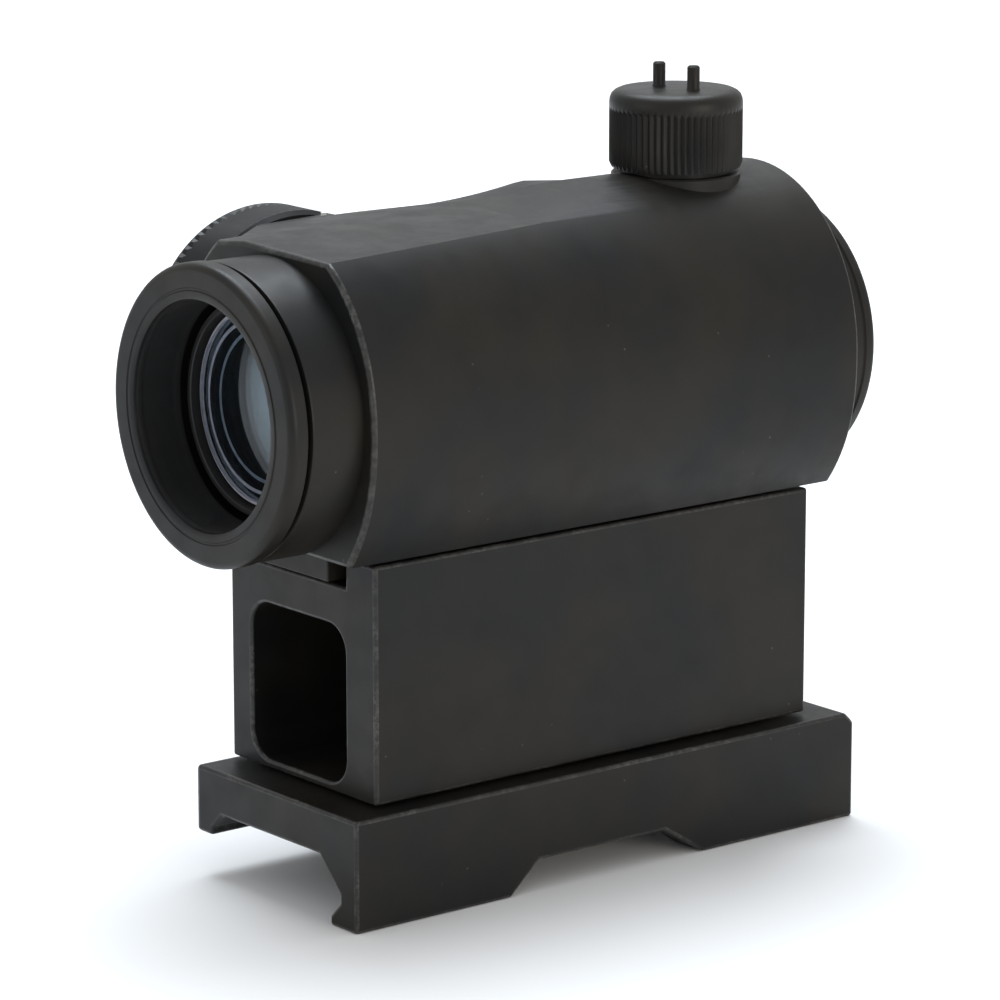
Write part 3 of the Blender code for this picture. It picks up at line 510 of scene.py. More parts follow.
def coated_glass(name, reflection, roughness, tint):
    """Clear glass whose reflection is coloured by its coating, with faint wiping marks."""
    material, tree, shader = new_finish(name)
    place = tree.nodes.new("ShaderNodeTexCoord")
    marks = noise(tree, place, 300.0, 4.0, 0.7)
    tree.links.new(remap(tree, marks.outputs["Fac"], 0.4, 0.75, roughness, roughness + 0.05),
                   shader.inputs["Roughness"])
    shader.inputs["Base Color"].default_value = (*tint, 1)
    shader.inputs["Transmission Weight"].default_value = 1.0
    shader.inputs["IOR"].default_value = 1.52
    shader.inputs["Specular Tint"].default_value = (*reflection, 1)
    return material


rubber = plain_finish("rubber", (0.006, 0.006, 0.006), (0.012, 0.012, 0.012), 900.0, 0.6, 0.8, bump=0.3)
# Pale bluish rings on the lenses: partly ground glass at the rims, partly a painted highlight for the
# bright arcs.
ground_rim_and_painted_highlight = plain_finish("ground_rim_and_painted_highlight", (0.46, 0.45, 0.52), (0.62, 0.61, 0.68), 1500.0, 0.35, 0.55)
dial_paint = plain_finish("dial_paint", (0.62, 0.62, 0.60), (0.75, 0.75, 0.72), 800.0, 0.45, 0.6)
board_green = plain_finish("board_green", (0.012, 0.10, 0.035), (0.02, 0.16, 0.06), 500.0, 0.3, 0.5)
lamp_red = plain_finish("lamp_red", (0.45, 0.02, 0.015), (0.6, 0.04, 0.03), 700.0, 0.15, 0.25)
blue_coating = coated_glass("blue_coating", (0.09, 0.15, 0.20), 0.02, (0.86, 0.95, 1.0))
clear_window = coated_glass("clear_window", (0.75, 0.9, 1.0), 0.02, (0.93, 0.97, 1.0))
print("finishes", len(bpy.data.materials))

# %% [markdown]
# ## The riser
# On the real mount the riser is a block of aluminium bar with a large rounded window milled through
# it and a shallow slot along the top for the foot of the sight. A cube is pulled to size in edit
# mode, the window and slot are cut from it, and the edges are broken before the screw holes go in.

# %% Riser block
def dress(piece, skin, edge=None):
    """Slot 0 is the main finish and slot 1 the finish of the rounded edges."""
    piece.data.materials.append(skin)
    if edge is not None:
        piece.data.materials.append(edge)
    return piece


def hand_over(piece, node, body):
    """The finished piece stands for a node, which is hidden, and rides on a body."""
    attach(piece, body)
    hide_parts(node)
    print(piece.name, len(piece.data.polygons), "faces")


def block(name, low, high):
    """A box between two corners, pulled to size in edit mode."""
    bpy.ops.object.select_all(action="DESELECT")
    bpy.ops.mesh.primitive_cube_add(size=1.0)
    piece = bpy.context.object
    piece.name = name
    piece.data.name = name
    bpy.ops.object.mode_set(mode="EDIT")
    bpy.ops.mesh.select_all(action="SELECT")
    low, high = Vector(low), Vector(high)
    bpy.ops.transform.resize(value=high - low)
    bpy.ops.transform.translate(value=(low + high) / 2)
    bpy.ops.object.mode_set(mode="OBJECT")
    return piece


def bar(name, radius, low, high, centre, lie, steps=32):
    """A plain round bar, used as a cutter; sizes in mm."""
    return lathe(name, [(0, high), (radius, high), (radius, low), (0, low)], centre, lie, steps)


def upright_axis(low, high):
    """A place on the upright line through the middle of a box."""
    return Vector(((low.x + high.x) / 2, (low.y + high.y) / 2, 0))


def rounded_corners(corners, radius, steps=8):
    """Corner points (u, v) of a box, each replaced by a quarter round."""
    points = []
    turns = (180, 270, 0, 90)
    for (u, v), start in zip(corners, turns):
        centre_u = u + radius * (1 if start in (180, 90) else -1)
        centre_v = v + radius * (1 if start in (180, 270) else -1)
        for step in range(steps + 1):
            angle = math.radians(start + 90 * step / steps)
            points.append((centre_u + radius * math.cos(angle), centre_v + radius * math.sin(angle)))
    return points


riser_low, riser_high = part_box("riser")
LEFT_WALL = 3.2          # the metal left round the window
RIGHT_WALL = 4.6
SILL = 0.8
BRIDGE = 3.8
KEY_DEPTH = 2.7          # the slot for the foot
KEY_HALF = 6.6
WINDOW_LEFT = riser_low.x / MM + LEFT_WALL
WINDOW_RIGHT = riser_high.x / MM - RIGHT_WALL
WINDOW_BOTTOM = riser_low.z / MM + SILL
KEY_FLOOR = riser_high.z / MM - KEY_DEPTH
WINDOW_TOP = KEY_FLOOR - BRIDGE
WINDOW_FILLET = 2.6
PAST = 1.0               # how far a cutter runs past the face it cuts

riser = dress(block("riser_block", riser_low, riser_high), black_anodised, anodised_edge)
window = rounded_corners([(WINDOW_LEFT, WINDOW_BOTTOM), (WINDOW_RIGHT, WINDOW_BOTTOM),
                          (WINDOW_RIGHT, WINDOW_TOP), (WINDOW_LEFT, WINDOW_TOP)], WINDOW_FILLET)
run_through = (riser_high.y - riser_low.y) + 2 * PAST * MM
outline = [Vector((x * MM, riser_low.y - PAST * MM, z * MM)) for x, z in window]
cut(riser, slab("window", outline, Vector((0, run_through, 0))))
cut(riser, block("key_slot", (-KEY_HALF * MM, riser_low.y - PAST * MM, KEY_FLOOR * MM),
                 (KEY_HALF * MM, riser_high.y + PAST * MM, riser_high.z + PAST * MM)))
tidy_flats(riser)
soften(riser, 0.34)

optic_bolts = [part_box("optic_screw_%d" % number) for number in range(1, 5)]
riser_bolts = [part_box("riser_screw_%d" % number) for number in range(1, 5)]
HEAD_R = 2.2
SHANK_R = 1.15
ROOM = 0.3               # clearance round what fits into a hole or a slot
HOLE_R = SHANK_R + ROOM
HEAD_SINK = 1.8          # how deep a bolt's head sits in the bridge
hole_top = riser_high.z / MM + PAST
head_seat = WINDOW_TOP + HEAD_SINK
stepped_hole = [(0, hole_top), (HOLE_R, hole_top), (HOLE_R, head_seat), (HEAD_R + ROOM, head_seat),
                (HEAD_R + ROOM, WINDOW_TOP - PAST), (0, WINDOW_TOP - PAST)]
for box in optic_bolts:
    cut(riser, lathe("bolt_hole", stepped_hole, upright_axis(*box), "up", 32))
for box in riser_bolts:
    cut(riser, bar("bolt_hole", HOLE_R, riser_low.z / MM - PAST, WINDOW_BOTTOM + PAST,
                   upright_axis(*box), "up"))
smooth(riser)
hand_over(riser, "riser", "root")

# %% [markdown]
# ## The rail base
# The base is one extruded section: the web, the fixed jaw with its 45 degree groove, and the short
# skirt on the lever side. The relief in the fixed jaw and the room for the moving jaw are cut across
# it. The two far corners get a larger round by hand, and the rear of the top a flat chamfer.

# %% Rail base
base_low, base_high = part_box("rail_base")
FAR_FACE = -11.9
JAW_FACE = base_high.x / MM
JAW_LOW = base_low.z / MM
WEB_TOP = base_high.z / MM
HALF_LENGTH = base_high.y / MM
FLAT_HALF = 7.6
GROOVE_HALF = 10.7       # from the middle to the bottom of a jaw's groove
GROOVE_TOP = -3.1
GROOVE_LOW = -3.9
LIP_HALF = 9.2           # from the middle to the lip under the groove
LIP_TOP = -5.4
SKIRT_HALF = 9.1
SKIRT_TOP = -1.5
SKIRT_LOW = -2.2
section = [(FAR_FACE, WEB_TOP), (JAW_FACE, WEB_TOP), (JAW_FACE, JAW_LOW), (LIP_HALF, JAW_LOW),
           (LIP_HALF, LIP_TOP), (GROOVE_HALF, GROOVE_LOW), (GROOVE_HALF, GROOVE_TOP), (FLAT_HALF, 0.0),
           (-FLAT_HALF, 0.0), (-SKIRT_HALF, SKIRT_TOP), (-SKIRT_HALF, SKIRT_LOW), (FAR_FACE, SKIRT_LOW)]
base = slab("rail_clamp_base", [mm(x, -HALF_LENGTH, z) for x, z in section], mm(0, 2 * HALF_LENGTH, 0))
dress(base, black_anodised, anodised_edge)
NOTCH_FRONT = -12.3      # the relief in the fixed jaw
NOTCH_REAR = 11.0
NOTCH_TOP = -3.3
notch = [(NOTCH_FRONT, JAW_LOW), (-9.0, NOTCH_TOP), (6.2, NOTCH_TOP), (NOTCH_REAR, JAW_LOW),
         (NOTCH_REAR, JAW_LOW - PAST), (NOTCH_FRONT, JAW_LOW - PAST)]
cut(base, slab("notch", [mm(FLAT_HALF, y, z) for y, z in notch], mm(7, 0, 0)))
JAW_ROOM_HALF = 13.6
cut(base, block("jaw_room", mm(FAR_FACE - PAST, -JAW_ROOM_HALF, JAW_LOW),
                mm(-FLAT_HALF, JAW_ROOM_HALF, 0.0)))
tidy_flats(base)
NEAR = 0.1               # how close to a face its corners are looked for
round_edges(base, lambda at: at.x < FAR_FACE + NEAR and abs(at.y) > HALF_LENGTH - NEAR,
            width=0.9, segments=4)
round_edges(base, lambda at: at.y > HALF_LENGTH - NEAR and at.z > WEB_TOP - NEAR and at.x > FAR_FACE + 0.5,
            width=1.0, segments=1, material=0)
soften(base, 0.34)

LUG_FRONT = 17.5
LUG_REAR = 22.5
LUG_DROP = 2.4
lug = block("recoil_lug", mm(-FLAT_HALF, LUG_FRONT, -LUG_DROP), mm(FLAT_HALF - 0.6, LUG_REAR, 2.0))
add(base, soften(lug, 0.3))
TONGUE_Y = 4.6           # the jaw has a tongue on each side of the middle
TONGUE_HALF = 1.5
SLOT_HALF = TONGUE_HALF + ROOM
SLOT_TOP = 2.3
for side in (-1, 1):
    cut(base, block("tongue_slot", mm(FAR_FACE - PAST, side * TONGUE_Y - SLOT_HALF, -PAST),
                    mm(-7.3, side * TONGUE_Y + SLOT_HALF, SLOT_TOP)))
EAR_R = 5.2
EAR_LOW = 1.3
EAR_THICKNESS = 2.4
ear = [(FAR_FACE + 1.0, PIVOT_Y / MM - EAR_R), (FAR_FACE + 1.0, PIVOT_Y / MM + EAR_R)]
for step in range(33):
    angle = math.radians(90 + 180 * step / 32)
    ear.append((PIVOT_X / MM + EAR_R * math.cos(angle), PIVOT_Y / MM + EAR_R * math.sin(angle)))
lever_ear = slab("lever_ear", [mm(x, y, EAR_LOW) for x, y in ear], mm(0, 0, EAR_THICKNESS))
add(base, soften(lever_ear, 0.3))
PIVOT = Vector((PIVOT_X, PIVOT_Y, 0))
cut(base, bar("pivot_hole", HOLE_R, 0.0, WEB_TOP + 2, PIVOT, "up"))
for box in riser_bolts:
    cut(base, bar("bolt_hole", HOLE_R, -PAST, WEB_TOP + PAST, upright_axis(*box), "up"))
smooth(base)
hand_over(base, "rail_base", "root")

# %% [markdown]
# ## The housing
# The body is half an ellipse above the axis with flanks that close in to the width of the riser. A
# flat-topped saddle and a round boss grow out of its side for the switch, and a long facet is milled
# across the top, deepest at the shoulder. The facet's cutter is a sheared prism, so it leans a little,
# and a second cutter with the same outline lets the facet over the saddle fall away more steeply.

# %% Body, saddle, boss and facet
body_low, body_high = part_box("housing")
COLLAR_FRONT = body_low.y / MM
COLLAR_LENGTH = 5.6
SHOULDER = COLLAR_FRONT + COLLAR_LENGTH
BODY_REAR = body_high.y / MM
HALF_WIDTH = body_high.x / MM
CREST = 16.9
BODY_GAP = 0.3           # between the body and the top of the riser
BODY_LOW = riser_high.z / MM + BODY_GAP
BOSS_R = 12.8
BOSS_END = 15.3
SADDLE_TOP = 16.05
axis_mm = AXIS_Z / MM
knob_y, knob_z = KNOB_Y / MM, KNOB_Z / MM

section = []
for step in range(65):
    angle = math.pi * step / 64
    section.append((HALF_WIDTH * math.cos(angle), axis_mm + CREST * math.sin(angle)))
flank = []
for step in range(1, 19):
    share = step / 18
    half = HALF_WIDTH - (HALF_WIDTH - riser_high.x / MM) * share ** 2.5
    flank.append((half, axis_mm - (axis_mm - BODY_LOW) * share))
section += [(-x, z) for x, z in flank] + list(reversed(flank))
housing = slab("sight_housing", [mm(x, SHOULDER, z) for x, z in section], mm(0, BODY_REAR - SHOULDER, 0))
dress(housing, black_anodised, anodised_edge)

saddle_rear = TURRET_Y / MM - 7.35
SADDLE_CORNER = -5.6
SADDLE_SIDE = -14.9
saddle = [(1.0, SHOULDER), (SADDLE_CORNER, SHOULDER), (SADDLE_SIDE, knob_y - 5), (SADDLE_SIDE, knob_y - 1),
          (-12.6, knob_y + 5), (-9.3, knob_y + 10.5), (-8.0, saddle_rear - 6), (-4.0, saddle_rear),
          (1.0, saddle_rear)]
add(housing, slab("saddle", [mm(x, y, knob_z) for x, y in saddle],
                  mm(0, 0, axis_mm + SADDLE_TOP - knob_z)))
add(housing, bar("boss", BOSS_R, 0.0, BOSS_END, KNOB, "side", 96))

FACET_UP = 14.3          # height over the axis at the shoulder
FACET_RISE = 0.031       # slope towards the rear
FACET_TILT = 0.029       # slope towards the side
FACET_FLAT = 24.3        # length of the straight stretch
FACET_BEND = 0.008       # how fast it curves up after that
REACH = 12               # how far the cutter reaches past the body
facet = [(SHOULDER - REACH, axis_mm + FACET_UP - REACH * FACET_RISE)]
for step in range(23):
    run = float(step)
    climb = FACET_RISE * (FACET_FLAT + run) + FACET_BEND * run * run
    facet.append((SHOULDER + FACET_FLAT + run, axis_mm + FACET_UP + climb))
facet += [(facet[-1][0], axis_mm + CREST + REACH), (SHOULDER - REACH, axis_mm + CREST + REACH)]
WIDE = 40.0
cut(housing, slab("facet", [mm(-WIDE, y, z + FACET_TILT * WIDE) for y, z in facet],
                  mm(2 * WIDE, 0, -2 * WIDE * FACET_TILT)))
SADDLE_FALL = 0.12
MEETING = -4.4           # where the two facets cross
lift = SADDLE_FALL * PAST - FACET_TILT * MEETING
side_facet = [mm(MEETING + PAST, y, z + lift) for y, z in facet]
cut(housing, slab("side_facet", side_facet, mm(-WIDE, 0, -WIDE * SADDLE_FALL)))
tidy_flats(housing, 0.03 * MM)
print("body", len(housing.data.polygons), "faces")

# %% [markdown]
# The shoulder and the rear end get a narrow round that catches the light. Only then come the turned
# parts, whose seams stay sharp: the collar, the two turret necks with a little ring at their foot,
# the flat foot under the body, and last of all every stepped bore.

# %% Collar, necks and bores
for end, width in ((SHOULDER, 0.45), (BODY_REAR, 0.35)):
    round_edges(housing, lambda at: abs(at.y - end) < 0.02, width)
COLLAR_SINK = 0.35       # how far it reaches below the top of the riser
COLLAR_WALL = 2.35
COLLAR_R = (AXIS_Z - riser_high.z) / MM + COLLAR_SINK
BORE_R = COLLAR_R - COLLAR_WALL
COLLAR_EDGE = 0.25
collar = [(0, SHOULDER + PAST), (COLLAR_R, SHOULDER + PAST), (COLLAR_R, COLLAR_FRONT + COLLAR_EDGE),
          (COLLAR_R - 0.07, COLLAR_FRONT + 0.08), (COLLAR_R - COLLAR_EDGE, COLLAR_FRONT),
          (0, COLLAR_FRONT)]
add(housing, lathe("collar", collar, OPTICAL, "back", 144))
NECK_R = 5.3
NECK_LENGTH = 5.2
NECK_RING_R = 6.15
NECK_ROOT = 12.0         # its lower end, inside the body
NECK_TOP = body_high.z / MM - axis_mm
SIDE_SINK = CREST - HALF_WIDTH
for lie, top in (("up", NECK_TOP), ("side", NECK_TOP - SIDE_SINK)):
    ring_top = top - NECK_LENGTH
    neck = [(0, top), (NECK_R - 0.2, top), (NECK_R, top - 0.2), (NECK_R, ring_top),
            (NECK_RING_R - 0.15, ring_top), (NECK_RING_R, ring_top - 0.15), (NECK_RING_R, NECK_ROOT),
            (0, NECK_ROOT)]
    add(housing, lathe("neck", neck, TURRET, lie, 64))
FOOT_HALF = 5.1
foot_low = (-FOOT_HALF, riser_low.y / MM - 0.8, body_low.z / MM)
foot_high = (FOOT_HALF, riser_high.y / MM - 1.7, BODY_LOW + 1)
sight_foot = block("foot", Vector(foot_low) * MM, Vector(foot_high) * MM)
add(housing, soften(sight_foot, 0.2, 2))

SEAL_DEPTH = 0.9         # the seats of the two seals
REAR_SEAL_R = 12.5
FRONT_SEAL_R = 12.8
rear_seat, front_seat = BODY_REAR - SEAL_DEPTH, COLLAR_FRONT + SEAL_DEPTH
bore = [(0, BODY_REAR + PAST), (REAR_SEAL_R, BODY_REAR + PAST), (REAR_SEAL_R, rear_seat),
        (BORE_R, rear_seat), (BORE_R, front_seat), (FRONT_SEAL_R, front_seat),
        (FRONT_SEAL_R, COLLAR_FRONT - PAST), (0, COLLAR_FRONT - PAST)]
cut(housing, lathe("bore", bore, OPTICAL, "back", 88))
DRUM_R = 3.9
DRUM_DEPTH = 4.6
THREAD_R = 1.8
for lie, top in (("up", NECK_TOP), ("side", NECK_TOP - SIDE_SINK)):
    well = [(0, top + PAST), (DRUM_R + ROOM, top + PAST), (DRUM_R + ROOM, top - DRUM_DEPTH),
            (THREAD_R, top - DRUM_DEPTH), (THREAD_R, BORE_R - PAST), (0, BORE_R - PAST)]
    cut(housing, lathe("well", well, TURRET, lie, 52))
BOARD_R = 9.7
BOARD_DEPTH = 1.4
SPINDLE_R = 3.5
spindle_floor = BORE_R + 1.3
recess = [(0, BOSS_END + PAST), (BOARD_R, BOSS_END + PAST), (BOARD_R, BOSS_END - BOARD_DEPTH),
          (SPINDLE_R, BOSS_END - BOARD_DEPTH), (SPINDLE_R, spindle_floor), (0, spindle_floor)]
cut(housing, lathe("board_recess", recess, KNOB, "side", 60))
ball_low, ball_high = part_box("detent_ball")
BALL = Vector((0, (ball_low.y + ball_high.y) / 2, (ball_low.z + ball_high.z) / 2))
DETENT_R = 1.1
DETENT_DEPTH = 2.8
cut(housing, bar("detent_hole", DETENT_R, BOSS_END - DETENT_DEPTH, BOSS_END + PAST, BALL, "side", 20))
FOOT_HOLE_DEPTH = 3.4
for box in optic_bolts:
    cut(housing, bar("bolt_hole", HOLE_R, foot_low[2] - PAST, foot_low[2] + FOOT_HOLE_DEPTH,
                     upright_axis(*box), "up", 20))
smooth(housing, 30.0)
hand_over(housing, "housing", "root")

PIP = mm(-14.2, knob_y + 2.2, 0)
PIP_R = 0.28
PIP_LOW = 53.7
PIP_TOP = 54.04
index_pip = dress(bar("index_pip", PIP_R, PIP_LOW, PIP_TOP, PIP, "up", 24), dial_paint)
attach(index_pip, "root")

# %% [markdown]
# ## The two ends
# The objective's retainer has a flat face with a soft outer radius and a fine line turned round it,
# and its bore is grooved against glare. The eyepiece's ring is plainer, with one groove for the grip.

# %% Retaining rings at the two ends
def arc_points(centre, radius, start, end, steps=6):
    """Points (r, h) of an arc, angles in degrees, for use in a section."""
    return [(centre[0] + radius * math.cos(math.radians(start + (end - start) * step / steps)),
             centre[1] + radius * math.sin(math.radians(start + (end - start) * step / steps)))
            for step in range(steps + 1)]


def grooves(radius, depth, start, end, pitch):
    """Sharp anti-glare grooves along a bore, as section points from start to end."""
    points = []
    count = int(abs(end - start) / pitch)
    step = (end - start) / count
    for number in range(count):
        points += [(radius, start + step * number), (radius + depth, start + step * (number + 0.5))]
    return points + [(radius, end)]


front_y, rear_y = FRONT_Y / MM, REAR_Y / MM
BEZEL_R = COLLAR_R + 0.15
RING_R = BORE_R + 2.2
SPIGOT_R = BORE_R - 0.3
BEZEL_ROUND = 0.75       # the soft outer radius
LINE_R = 11.43           # the fine line turned in the face
MOUTH_R = 10.45          # the clear opening
flange_y = front_y + 1.9
spigot_y = flange_y + 3.3
bezel = [(SPIGOT_R, spigot_y), (SPIGOT_R, flange_y), (BEZEL_R - 0.15, flange_y),
         (BEZEL_R, flange_y - 0.15)]
bezel += arc_points((BEZEL_R - BEZEL_ROUND, front_y + BEZEL_ROUND), BEZEL_ROUND, 0, -90)
bezel += [(LINE_R + 0.17, front_y), (LINE_R + 0.09, front_y + 0.09), (LINE_R - 0.09, front_y + 0.09),
          (LINE_R - 0.17, front_y), (MOUTH_R + 0.35, front_y), (MOUTH_R + 0.1, front_y + 0.1),
          (MOUTH_R, front_y + 0.35)]
bezel += grooves(MOUTH_R, 0.07, front_y + 1.0, front_y + 4.6, 0.6) + [(MOUTH_R, spigot_y)]
objective_bezel = dress(lathe("objective_bezel", bezel, OPTICAL, "back", 144, ring=True), black_anodised,
                        dull_black)
for face in objective_bezel.data.polygons:
    reach = math.hypot(face.center.x, face.center.z - AXIS_Z) / MM
    if reach < MOUTH_R + 0.3 and face.center.y / MM > front_y + 0.5:
        face.material_index = 1
hand_over(smooth(objective_bezel), "front_bezel", "root")

ring_front = BODY_REAR + 0.5
grip_y = ring_front + 1.62
GRIP_DEPTH = 0.16
EYE_R = 9.8
RING_ROUND = 0.7
INNER_END = 27.5         # where the ring ends inside the body
ring = [(EYE_R, INNER_END), (EYE_R, rear_y - 0.4), (EYE_R + 0.4, rear_y)]
ring += list(reversed(arc_points((RING_R - RING_ROUND, rear_y - RING_ROUND), RING_ROUND, 0, 90)))
ring += [(RING_R, grip_y + 0.28), (RING_R - GRIP_DEPTH, grip_y + 0.12),
         (RING_R - GRIP_DEPTH, grip_y - 0.12), (RING_R, grip_y - 0.28), (RING_R, ring_front + 0.15),
         (RING_R - 0.15, ring_front), (SPIGOT_R, ring_front), (SPIGOT_R, INNER_END)]
eyepiece_bezel = dress(lathe("eyepiece_bezel", ring, OPTICAL, "back", 144, ring=True), black_anodised)
hand_over(smooth(eyepiece_bezel), "rear_bezel", "root")

# %% [markdown]
# ## The optics
# The tube that tilts is threaded along its bore against glare. Each element of the objective has a pale rim
# at its edge, partly real ground glass and partly a painted highlight, and a pale ring on its back face,
# which is a painted highlight standing in for the bright arcs that the ledges inside the tube reflect
# through the coated glass.

# %% Tube, lenses and window
tube_low, tube_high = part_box("inner_tube")
tube_front, tube_rear = tube_low.y / MM, tube_high.y / MM
TUBE_R = tube_high.x / MM
LENS_R = TUBE_R - 0.9
STOP_R = 8.2             # the collar behind the lenses
BAFFLE_R = 8.8           # the grooved bore behind it
pocket_end = tube_front + 3.6
stop_end = tube_front + 4.8
tube = [(TUBE_R, tube_rear), (TUBE_R, tube_front + 0.15), (TUBE_R - 0.15, tube_front),
        (LENS_R + 0.4, tube_front), (LENS_R + ROOM, tube_front + 0.1), (LENS_R + ROOM, pocket_end),
        (STOP_R, pocket_end), (STOP_R, stop_end)]
tube += grooves(BAFFLE_R, 0.22, stop_end, tube_rear, 1.3)
light_tube = dress(lathe("light_tube", tube, OPTICAL, "back", 96, ring=True), dull_black)
hand_over(smooth(light_tube, 25), "inner_tube", "inner_tube")
RIM = 0.34               # width of the pale rings on a lens: the ground rim and the painted highlight ring


def lens(name, node, front, back, highlight_ring_r):
    """A lens from two surfaces, each (height at the edge, height in the middle), with a pale rim that is
    partly ground glass and partly a painted highlight, and a painted highlight ring on its back face at the
    radius given last.
    """
    def surface(edge_height, middle_height, radius):
        share = radius / LENS_R
        return middle_height + (edge_height - middle_height) * share * share

    radii = [LENS_R - RIM, highlight_ring_r, highlight_ring_r - RIM, 5.0, 3.0, 1.2, 0.0]
    section = [(radius, surface(*back, radius)) for radius in reversed(radii)]
    section += [(LENS_R, back[0] - 0.15), (LENS_R, front[0] + 0.15)]
    section += [(radius, surface(*front, radius)) for radius in radii]
    piece = dress(lathe(name, section, OPTICAL, "back", 96), blue_coating, ground_rim_and_painted_highlight)
    # Slot 1 paints pale rings: the rim, partly ground glass and partly a painted highlight, and on the back
    # face a painted highlight ring.
    for face in piece.data.polygons:
        reach = math.hypot(face.center.x, face.center.z - AXIS_Z) / MM
        on_front = face.center.y / MM < (front[0] + back[0]) / 2
        if reach > LENS_R - RIM or (not on_front and highlight_ring_r - RIM < reach < highlight_ring_r):
            face.material_index = 1
    hand_over(smooth(piece, 20), node, "inner_tube")


# The last number of each lens is the radius of its painted highlight ring.
crown = tube_front + 0.7
lens("front_lens", "objective_front_element", (crown, crown - 0.7), (crown + 1.3, crown + 0.8), 7.9)
lens_back = tube_front + 3.3
lens("rear_lens", "objective_rear_element", (crown + 1.6, crown + 1.1), (lens_back, lens_back), 7.0)
window_low, window_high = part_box("ocular_window")
near, far = window_low.y / MM, window_high.y / MM
pane = [(0, near), (SPIGOT_R - 0.15, near), (SPIGOT_R, near + 0.15), (SPIGOT_R, far - 0.15),
        (SPIGOT_R - 0.15, far), (0, far)]
eyepiece_window = dress(lathe("eyepiece_window", pane, OPTICAL, "back", 96), clear_window)
hand_over(smooth(eyepiece_window), "ocular_window", "root")

# %% [markdown]
# ## The turret caps
# A cap is spun in narrow columns, and every fourth column of its lower part is then scaled in towards
# the axis, with its neighbours half as far, which leaves sixty straight teeth. The two prongs on top
# are a key for the holes in the drum below.

# %% Knurled caps
CAP_R = 6.35
CAP_HEIGHT = 7.4
CAP_GAP = 0.3            # between a cap and the crest of the body
CAP_BORE_R = 5.6
CAP_ROOF = 1.4
CAP_COLUMNS = 240
TEETH_SHARE = {0: 0.962, 1: 0.982, 3: 0.982}
PRONG_R = 0.6
PRONG_RISE = 2.3
PRONG_REACH = 2.125
PRONG_TURN = math.radians(9)


def column_of(place, centre, lie, columns):
    """Which column of a spun piece a place lies in, counted from where its section was drawn."""
    offset = place - centre
    across = offset.dot(ACROSS[lie])
    beside = offset.dot(ALONG[lie].cross(ACROSS[lie]))
    return round(math.atan2(beside, across) / math.tau * columns) % columns


def press_in(piece, centre, lie, share, chosen):
    """Scale the chosen vertices towards the axis."""
    if pick(piece, chosen):
        factors = (1.0, share, share) if lie == "side" else (share, share, 1.0)
        bpy.ops.transform.resize(value=factors, center_override=centre)
    bpy.ops.object.mode_set(mode="OBJECT")


def turret_cap(name, node, lie, sink):
    """A cap with straight knurling and two prongs; heights are over the optical axis."""
    top = CREST + CAP_GAP + CAP_HEIGHT - sink
    low = top - CAP_HEIGHT
    section = [(0, top), (5.0, top), (5.45, top - 0.06), (5.85, top - 0.24), (6.15, top - 0.52),
               (CAP_R - 0.05, top - 0.9), (CAP_R, top - 1.3), (CAP_R, top - 1.75), (CAP_R, top - 2.05),
               (CAP_R, low + 2.4), (CAP_R, low + 0.45), (CAP_R - 0.22, low), (CAP_BORE_R + 0.1, low),
               (CAP_BORE_R, low + 0.1), (CAP_BORE_R, top - CAP_ROOF), (0, top - CAP_ROOF)]
    cap = dress(lathe(name, section, TURRET, lie, CAP_COLUMNS), black_anodised, anodised_edge)
    for column, share in TEETH_SHARE.items():
        press_in(cap, TURRET, lie, share, lambda at: (
            column_of(at, TURRET, lie, CAP_COLUMNS) % 4 == column
            and low + 0.4 < (at - TURRET).dot(ALONG[lie]) / MM < top - 1.9
            and (at - TURRET - ALONG[lie] * (at - TURRET).dot(ALONG[lie])).length / MM > CAP_R - 0.1))
    beside = Vector((0, 1, 0))
    along = ACROSS[lie]
    for side in (-PRONG_REACH, PRONG_REACH):
        spot = TURRET + (along * math.cos(PRONG_TURN) + beside * math.sin(PRONG_TURN)) * side * MM
        prong = [(0, top + PRONG_RISE), (PRONG_R - 0.15, top + PRONG_RISE), (PRONG_R, top + 2.15),
                 (PRONG_R, top + 0.15), (PRONG_R + 0.08, top), (PRONG_R, top - 0.5), (0, top - 0.5)]
        add(cap, lathe("prong", prong, spot, lie, 24))
    hand_over(smooth(cap, 28), node, node)


turret_cap("elevation_turret_cap", "elevation_cap", "up", 0.0)
turret_cap("windage_turret_cap", "windage_cap", "side", SIDE_SINK)

# %% [markdown]
# ## The switch
# The knob is spun in narrow columns and fine rows, and every other corner of that grid is pressed in
# a little, which leaves a diamond knurl. The digits on its face are plain brightness steps.

# %% Brightness dial
knob_low, knob_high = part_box("brightness_knob")
KNOB_R = (knob_high.z - knob_low.z) / 2 / MM
KNOB_NEAR, KNOB_FAR = -knob_high.x / MM, -knob_low.x / MM
KNOB_COLUMNS = 168
KNURL_ROWS = 14
KNURL_DEPTH = 0.28
HUB_WALL = 1.0
CELL_WELL_R = 10.5
knurl_start, knurl_end = KNOB_NEAR + 0.55, KNOB_FAR - 0.65
row_height = (knurl_end - knurl_start) / KNURL_ROWS
section = [(CELL_WELL_R, KNOB_FAR - 0.2), (CELL_WELL_R + 0.2, KNOB_FAR), (KNOB_R - 0.45, KNOB_FAR),
           (KNOB_R - 0.12, KNOB_FAR - 0.2), (KNOB_R, knurl_end + 0.1)]
section += [(KNOB_R, knurl_end - row_height * row) for row in range(1, KNURL_ROWS)]
section += [(KNOB_R, knurl_start - 0.1), (KNOB_R - 0.4, KNOB_NEAR), (SPINDLE_R, KNOB_NEAR),
            (SPINDLE_R, KNOB_NEAR + HUB_WALL), (CELL_WELL_R, KNOB_NEAR + HUB_WALL)]
dial = dress(lathe("brightness_dial", section, KNOB, "side", KNOB_COLUMNS, ring=True), knob_black,
             anodised_edge)


